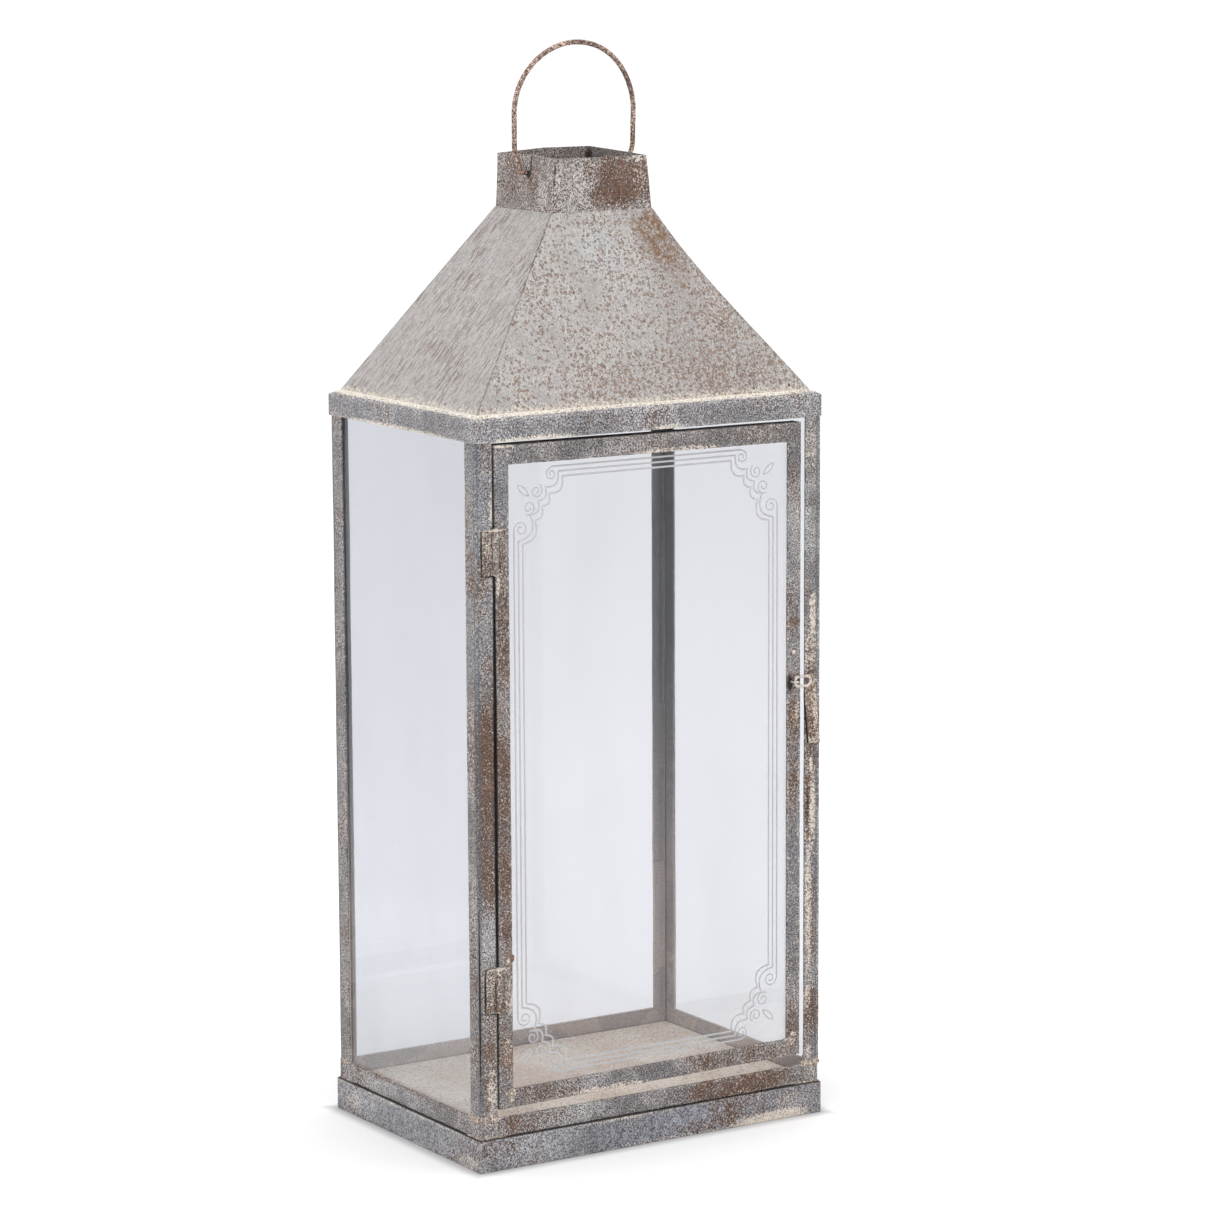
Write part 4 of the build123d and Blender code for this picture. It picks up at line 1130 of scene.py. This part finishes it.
def add_bail():
    """A half circle on two legs whose ends turn in through the collar and up."""
    half = bail_high.x - wire_radius
    inner = neck_half_width - 7.5 * MM
    hook_top = bail_axis + 7 * MM
    bow_level = bail_high.z - wire_radius - half
    foot = neck_half_width + 2.2 * MM
    corners = [(inner, hook_top), (inner, bail_axis), (foot, bail_axis), (half, bail_axis + 14 * MM),
               (half, bow_level)]
    right = rounded_path([Vector((x, 0, z)) for x, z in corners], [2.4 * MM, 2.4 * MM, 9 * MM])
    turns = [math.pi * k / 72 for k in range(1, 72)]
    bow = [Vector((half * math.cos(t), 0, bow_level + half * math.sin(t))) for t in turns]
    left = [Vector((-p.x, p.y, p.z)) for p in reversed(right)]
    points = [bail_lean(p) for p in even_points(right + bow + left, 1.2 * MM)]
    for point in points:
        point.x += 0.35 * MM * noise.noise(Vector((point.z * 18, point.x * 18, 4.0)))
    piece = wire("bail_handle_wire", points, wire_radius, 0.22 * MM, 5)
    for vertex in piece.data.vertices:
        vertex.co.z = min(vertex.co.z, cad_high.z)
    finish_piece(piece, "bail", "bail_wire", ["bail_handle"])


def add_floor_sheet():
    low, high = floor_low, floor_high
    corners = [(low.y, low.z), (low.y, high.z), (high.y, high.z), (high.y, low.z)]
    section = outline(corners, 4 * [0.3 * MM])

    def place(s, u, v):
        return Vector((low.x + s, u, v))

    piece = run_of_section("floor_plate_skin", section, high.x - low.x, lambda u, v: 0, place)
    finish_piece(piece, "root", "floor_sheet", ["floor_plate"])


def mark_wear(mesh, turn=0.3):
    """Wear of 1 on the outer edges of a bmesh, -1 in its inner corners and 0 elsewhere."""
    layer = mesh.verts.layers.float.new("wear")
    for vertex in mesh.verts:
        angles = [edge.calc_face_angle_signed(0.0) for edge in vertex.link_edges]
        sharpest = max(angles, key=abs, default=0.0)
        vertex[layer] = math.copysign(1.0, sharpest) if abs(sharpest) > turn else 0.0


def add_hardware():
    """Hinges, rivets, latch and tabs: the CAD shapes with their sharp edges softened."""
    slots = {row["node"]: row["material_slot"] for row in frame["record"]["subparts"]}
    stems = ("upper_hinge", "lower_hinge", "post_hinge", "door_hinge", "latch", "pane_left_tabs",
             "pane_right_tabs", "pane_back_tabs", "door_glass_tabs")
    for body, nodes in frame["record"]["behaviour"]["bodies"].items():
        for node in nodes:
            if not node.startswith(stems):
                continue
            divided = node.endswith(("leaf", "tongue"))
            mesh = cad_copy(node, 1.3 * MM if divided else None)
            bmesh.ops.recalc_face_normals(mesh, faces=mesh.faces)
            if divided:
                mark_wear(mesh)
            if node == "latch_tongue":
                widen_tongue(mesh)
            piece = finished_mesh(f"{node}_skin", mesh, 35)
            modifier = piece.modifiers.new("softened", "BEVEL")
            modifier.width, modifier.segments = 0.22 * MM, 2
            modifier.limit_method, modifier.angle_limit = "ANGLE", math.radians(45)
            apply_modifiers(piece)
            wire_like = node in ("latch_loop", "latch_staple")
            finish_piece(piece, body, slots[node], [node], material="latch_wire" if wire_like else None)


def widen_tongue(mesh):
    """The strap's left edge stands a little over the post's edge."""
    overhang = 1.7 * MM
    low, high = span("latch_tongue")
    for vertex in mesh.verts:
        vertex.co.x -= overhang * (high.x - vertex.co.x) / (high.x - low.x)


def add_glass():
    """The panes keep their CAD shape. They let the lamps' light through."""
    for node in ("pane_left", "pane_right", "pane_back", "door_glass"):
        pane = frame["nodes"][node]
        pane.data.materials.clear()
        pane.data.materials.append(MATERIALS["etched_glass" if node == "door_glass" else "clear_glass"])
        pane.visible_shadow = False


# --- the etched border of the door glass ---

LINE_WIDTH = 1.15 * MM
ETCH_DEPTH = 0.02 * MM


def ribbon(mesh, points, width, level_y):
    """A thin flat strip along points given as (x, z), on the back of the glass."""
    count = len(points)
    back_y = level_y + ETCH_DEPTH
    edges = ((-1, level_y), (1, level_y), (1, back_y), (-1, back_y))
    rows = []
    for i, (x, z) in enumerate(points):
        x0, z0 = points[max(i - 1, 0)]
        x1, z1 = points[min(i + 1, count - 1)]
        size = math.hypot(x1 - x0, z1 - z0)
        side_x, side_z = -(z1 - z0) / size * width / 2, (x1 - x0) / size * width / 2
        rows.append([mesh.verts.new((x + sx * side_x, y, z + sx * side_z)) for sx, y in edges])
    for one, other in zip(rows, rows[1:]):
        for k in range(4):
            mesh.faces.new((one[k - 1], one[k], other[k], other[k - 1]))
    mesh.faces.new(rows[0])
    mesh.faces.new(list(reversed(rows[-1])))


def bulging_chain(cusps, bulge=0.33, steps=9):
    """Arcs from cusp to cusp, each bowed away from the corner by a share of its chord."""
    points = []
    for (u0, v0), (u1, v1) in zip(cusps, cusps[1:]):
        chord = math.hypot(u1 - u0, v1 - v0)
        away_u, away_v = (v1 - v0) / chord, -(u1 - u0) / chord
        if away_u + away_v < 0:
            away_u, away_v = -away_u, -away_v
        for k in range(1 if points else 0, steps + 1):
            t = k / steps
            lift = bulge * chord * 4 * t * (1 - t)
            points.append((u0 + (u1 - u0) * t + away_u * lift, v0 + (v1 - v0) * t + away_v * lift))
    return points


def spiral(centre, radius, start, turns, steps=26):
    """A curl that winds in from its rim."""
    points = []
    for k in range(steps + 1):
        share = k / steps
        reach = radius * (1 - 0.78 * share)
        turn = math.radians(start) + 2 * math.pi * turns * share
        points.append((centre[0] + reach * math.cos(turn), centre[1] + reach * math.sin(turn)))
    return points


def leaf(base, tip, width, steps=10):
    """A pointed leaf's outline, from its base to its tip and back."""
    du, dv = tip[0] - base[0], tip[1] - base[1]
    length = math.hypot(du, dv)
    side_u, side_v = -dv / length, du / length
    there, back = [], []
    for k in range(steps + 1):
        t = k / steps
        swell = width / 2 * math.sin(math.pi * t) ** 0.8
        u, v = base[0] + du * t, base[1] + dv * t
        there.append((u + side_u * swell, v + side_v * swell))
        back.append((u - side_u * swell, v - side_v * swell))
    return there + list(reversed(back[:-1]))


def add_etching():
    """Three frosted border lines that step round scrolled corners."""
    centre_x = -0.5 * MM
    half = 94.7 * MM
    top, bottom = 424.9 * MM, 54.4 * MM
    face = glass_high.y + 0.01 * MM
    offsets = (0.0, 3.1 * MM, 6.2 * MM)
    middle = [(31, 3.1), (22, 12), (17, 20), (11.5, 28), (3.1, 43)]
    inner = [(34, 6.2), (24.5, 16), (19.5, 23.5), (14.5, 31.5), (6.2, 45)]
    curls = [((26.4, 4.4), 4.0, -90, -1.4), ((15.8, 14.0), 4.4, -60, 1.4),
             ((10.4, 23.6), 4.6, 120, -1.4), ((4.9, 36.0), 4.7, 180, 1.4)]
    mesh = bmesh.new()
    numbers = itertools.count(1)
    step_back = 0.002 * MM

    def draw(points, width=LINE_WIDTH):
        """Each line lies a hair behind the one before, so that crossing lines don't share a face."""
        ribbon(mesh, points, width, face + step_back * next(numbers))

    for sx in (-1, 1):
        for end, sz in ((top, -1), (bottom, 1)):
            def at(u, v):
                return centre_x + sx * (half - u), end + sz * v

            for cusps in (middle, inner):
                draw([at(u * MM, v * MM) for u, v in bulging_chain(cusps)])
            for place, radius, start, turns in curls:
                curl = spiral(place, radius, start, turns)
                draw([at(u * MM, v * MM) for u, v in curl], 0.8 * LINE_WIDTH)
            draw([at(u * MM, v * MM) for u, v in leaf((10.4, 16.4), (2.6, 9.6), 3.4)], 0.7 * LINE_WIDTH)

    # The straight lines run from one corner's scrolls to the next.
    reach_x = (26.4 * MM, 31 * MM, 34 * MM)
    reach_z = (36.0 * MM, 43 * MM, 45 * MM)
    for offset, cut_x, cut_z in zip(offsets, reach_x, reach_z):
        for level in (top - offset, bottom + offset):
            draw([(centre_x - half + cut_x, level), (centre_x + half - cut_x, level)])
        for x in (centre_x - half + offset, centre_x + half - offset):
            draw([(x, bottom + cut_z), (x, top - cut_z)])
    piece = finished_mesh("door_glass_etching", mesh)
    finish_piece(piece, "door", "etched_glass", material="etching")


# --- solder ---

def lumps(name, body, slot, places):
    """Flattened uneven lumps, each given as (centre, half sizes) in millimetres."""
    mesh = bmesh.new()
    for number, (centre, size) in enumerate(places):
        made = bmesh.ops.create_icosphere(mesh, subdivisions=4, radius=1.0)
        shift = Vector((number * 3.7, 1.9, number * 0.6))
        for vertex in made["verts"]:
            direction = vertex.co.normalized()
            wide, fine = noise.noise(direction * 1.4 + shift), noise.noise(direction * 4 + shift)
            swell = 1 + 0.38 * wide + 0.14 * fine
            vertex.co = Vector([(c + s * d * swell) * MM for c, s, d in zip(centre, size, direction)])
            keep_in_cad_box(vertex)
    piece = finished_mesh(name, mesh, 60)
    finish_piece(piece, body, slot, material="solder")


def add_solder():
    face = front_face / MM
    side = -frame_half_width / MM
    post_foot = post_low.z / MM
    lumps("frame_solder", "root", "frame_zinc", [
        ((side + 6, face, post_foot), (8, 0.35, 2.6)),
        ((side, face + 6, post_foot), (0.35, 7, 2.4)),
        ((-side - 6, face, post_foot), (7, 0.35, 2.8)),
        ((side + 8, face, 20.2), (9, 0.4, 0.9)),
        ((-side - 8, face, 20.2), (9, 0.4, 0.9)),
        ((side, face + 8, 20.2), (0.4, 9, 0.9)),
        ((side, -face - 8, 20.2), (0.4, 9, 0.9)),
        ((-side, face + 8, post_foot), (0.35, 7, 2.2)),
        ((-side, -face - 5.5, post_foot - 1), (0.35, 4.6, 1.8)),
        ((side + 5.5, -face, post_foot - 1), (4.6, 0.35, 1.8)),
        ((-side - 5.5, -face, post_foot - 1), (4.6, 0.35, 1.8)),
        ((side, -face - 5.5, post_foot - 1), (0.35, 4.6, 1.8)),
    ])
    left, right = stile_low.x / MM, far_stile_high.x / MM
    lumps("door_solder", "door", "door_zinc", [
        ((left + 7.5, face, 46), (4.0, 0.35, 3.4)),
        ((right - 8, face, 49), (4.4, 0.35, 3.4)),
        ((left + 9.6, face, 130), (1.4, 0.6, 2.4)),
    ])


add_camera()
add_surroundings()
add_floor()
MATERIALS = make_materials()
add_base_and_rails()
add_posts()
add_roof_band()
add_roof()
add_collar()
add_bail()
add_floor_sheet()
add_door()
add_hardware()
add_glass()
add_etching()
add_solder()
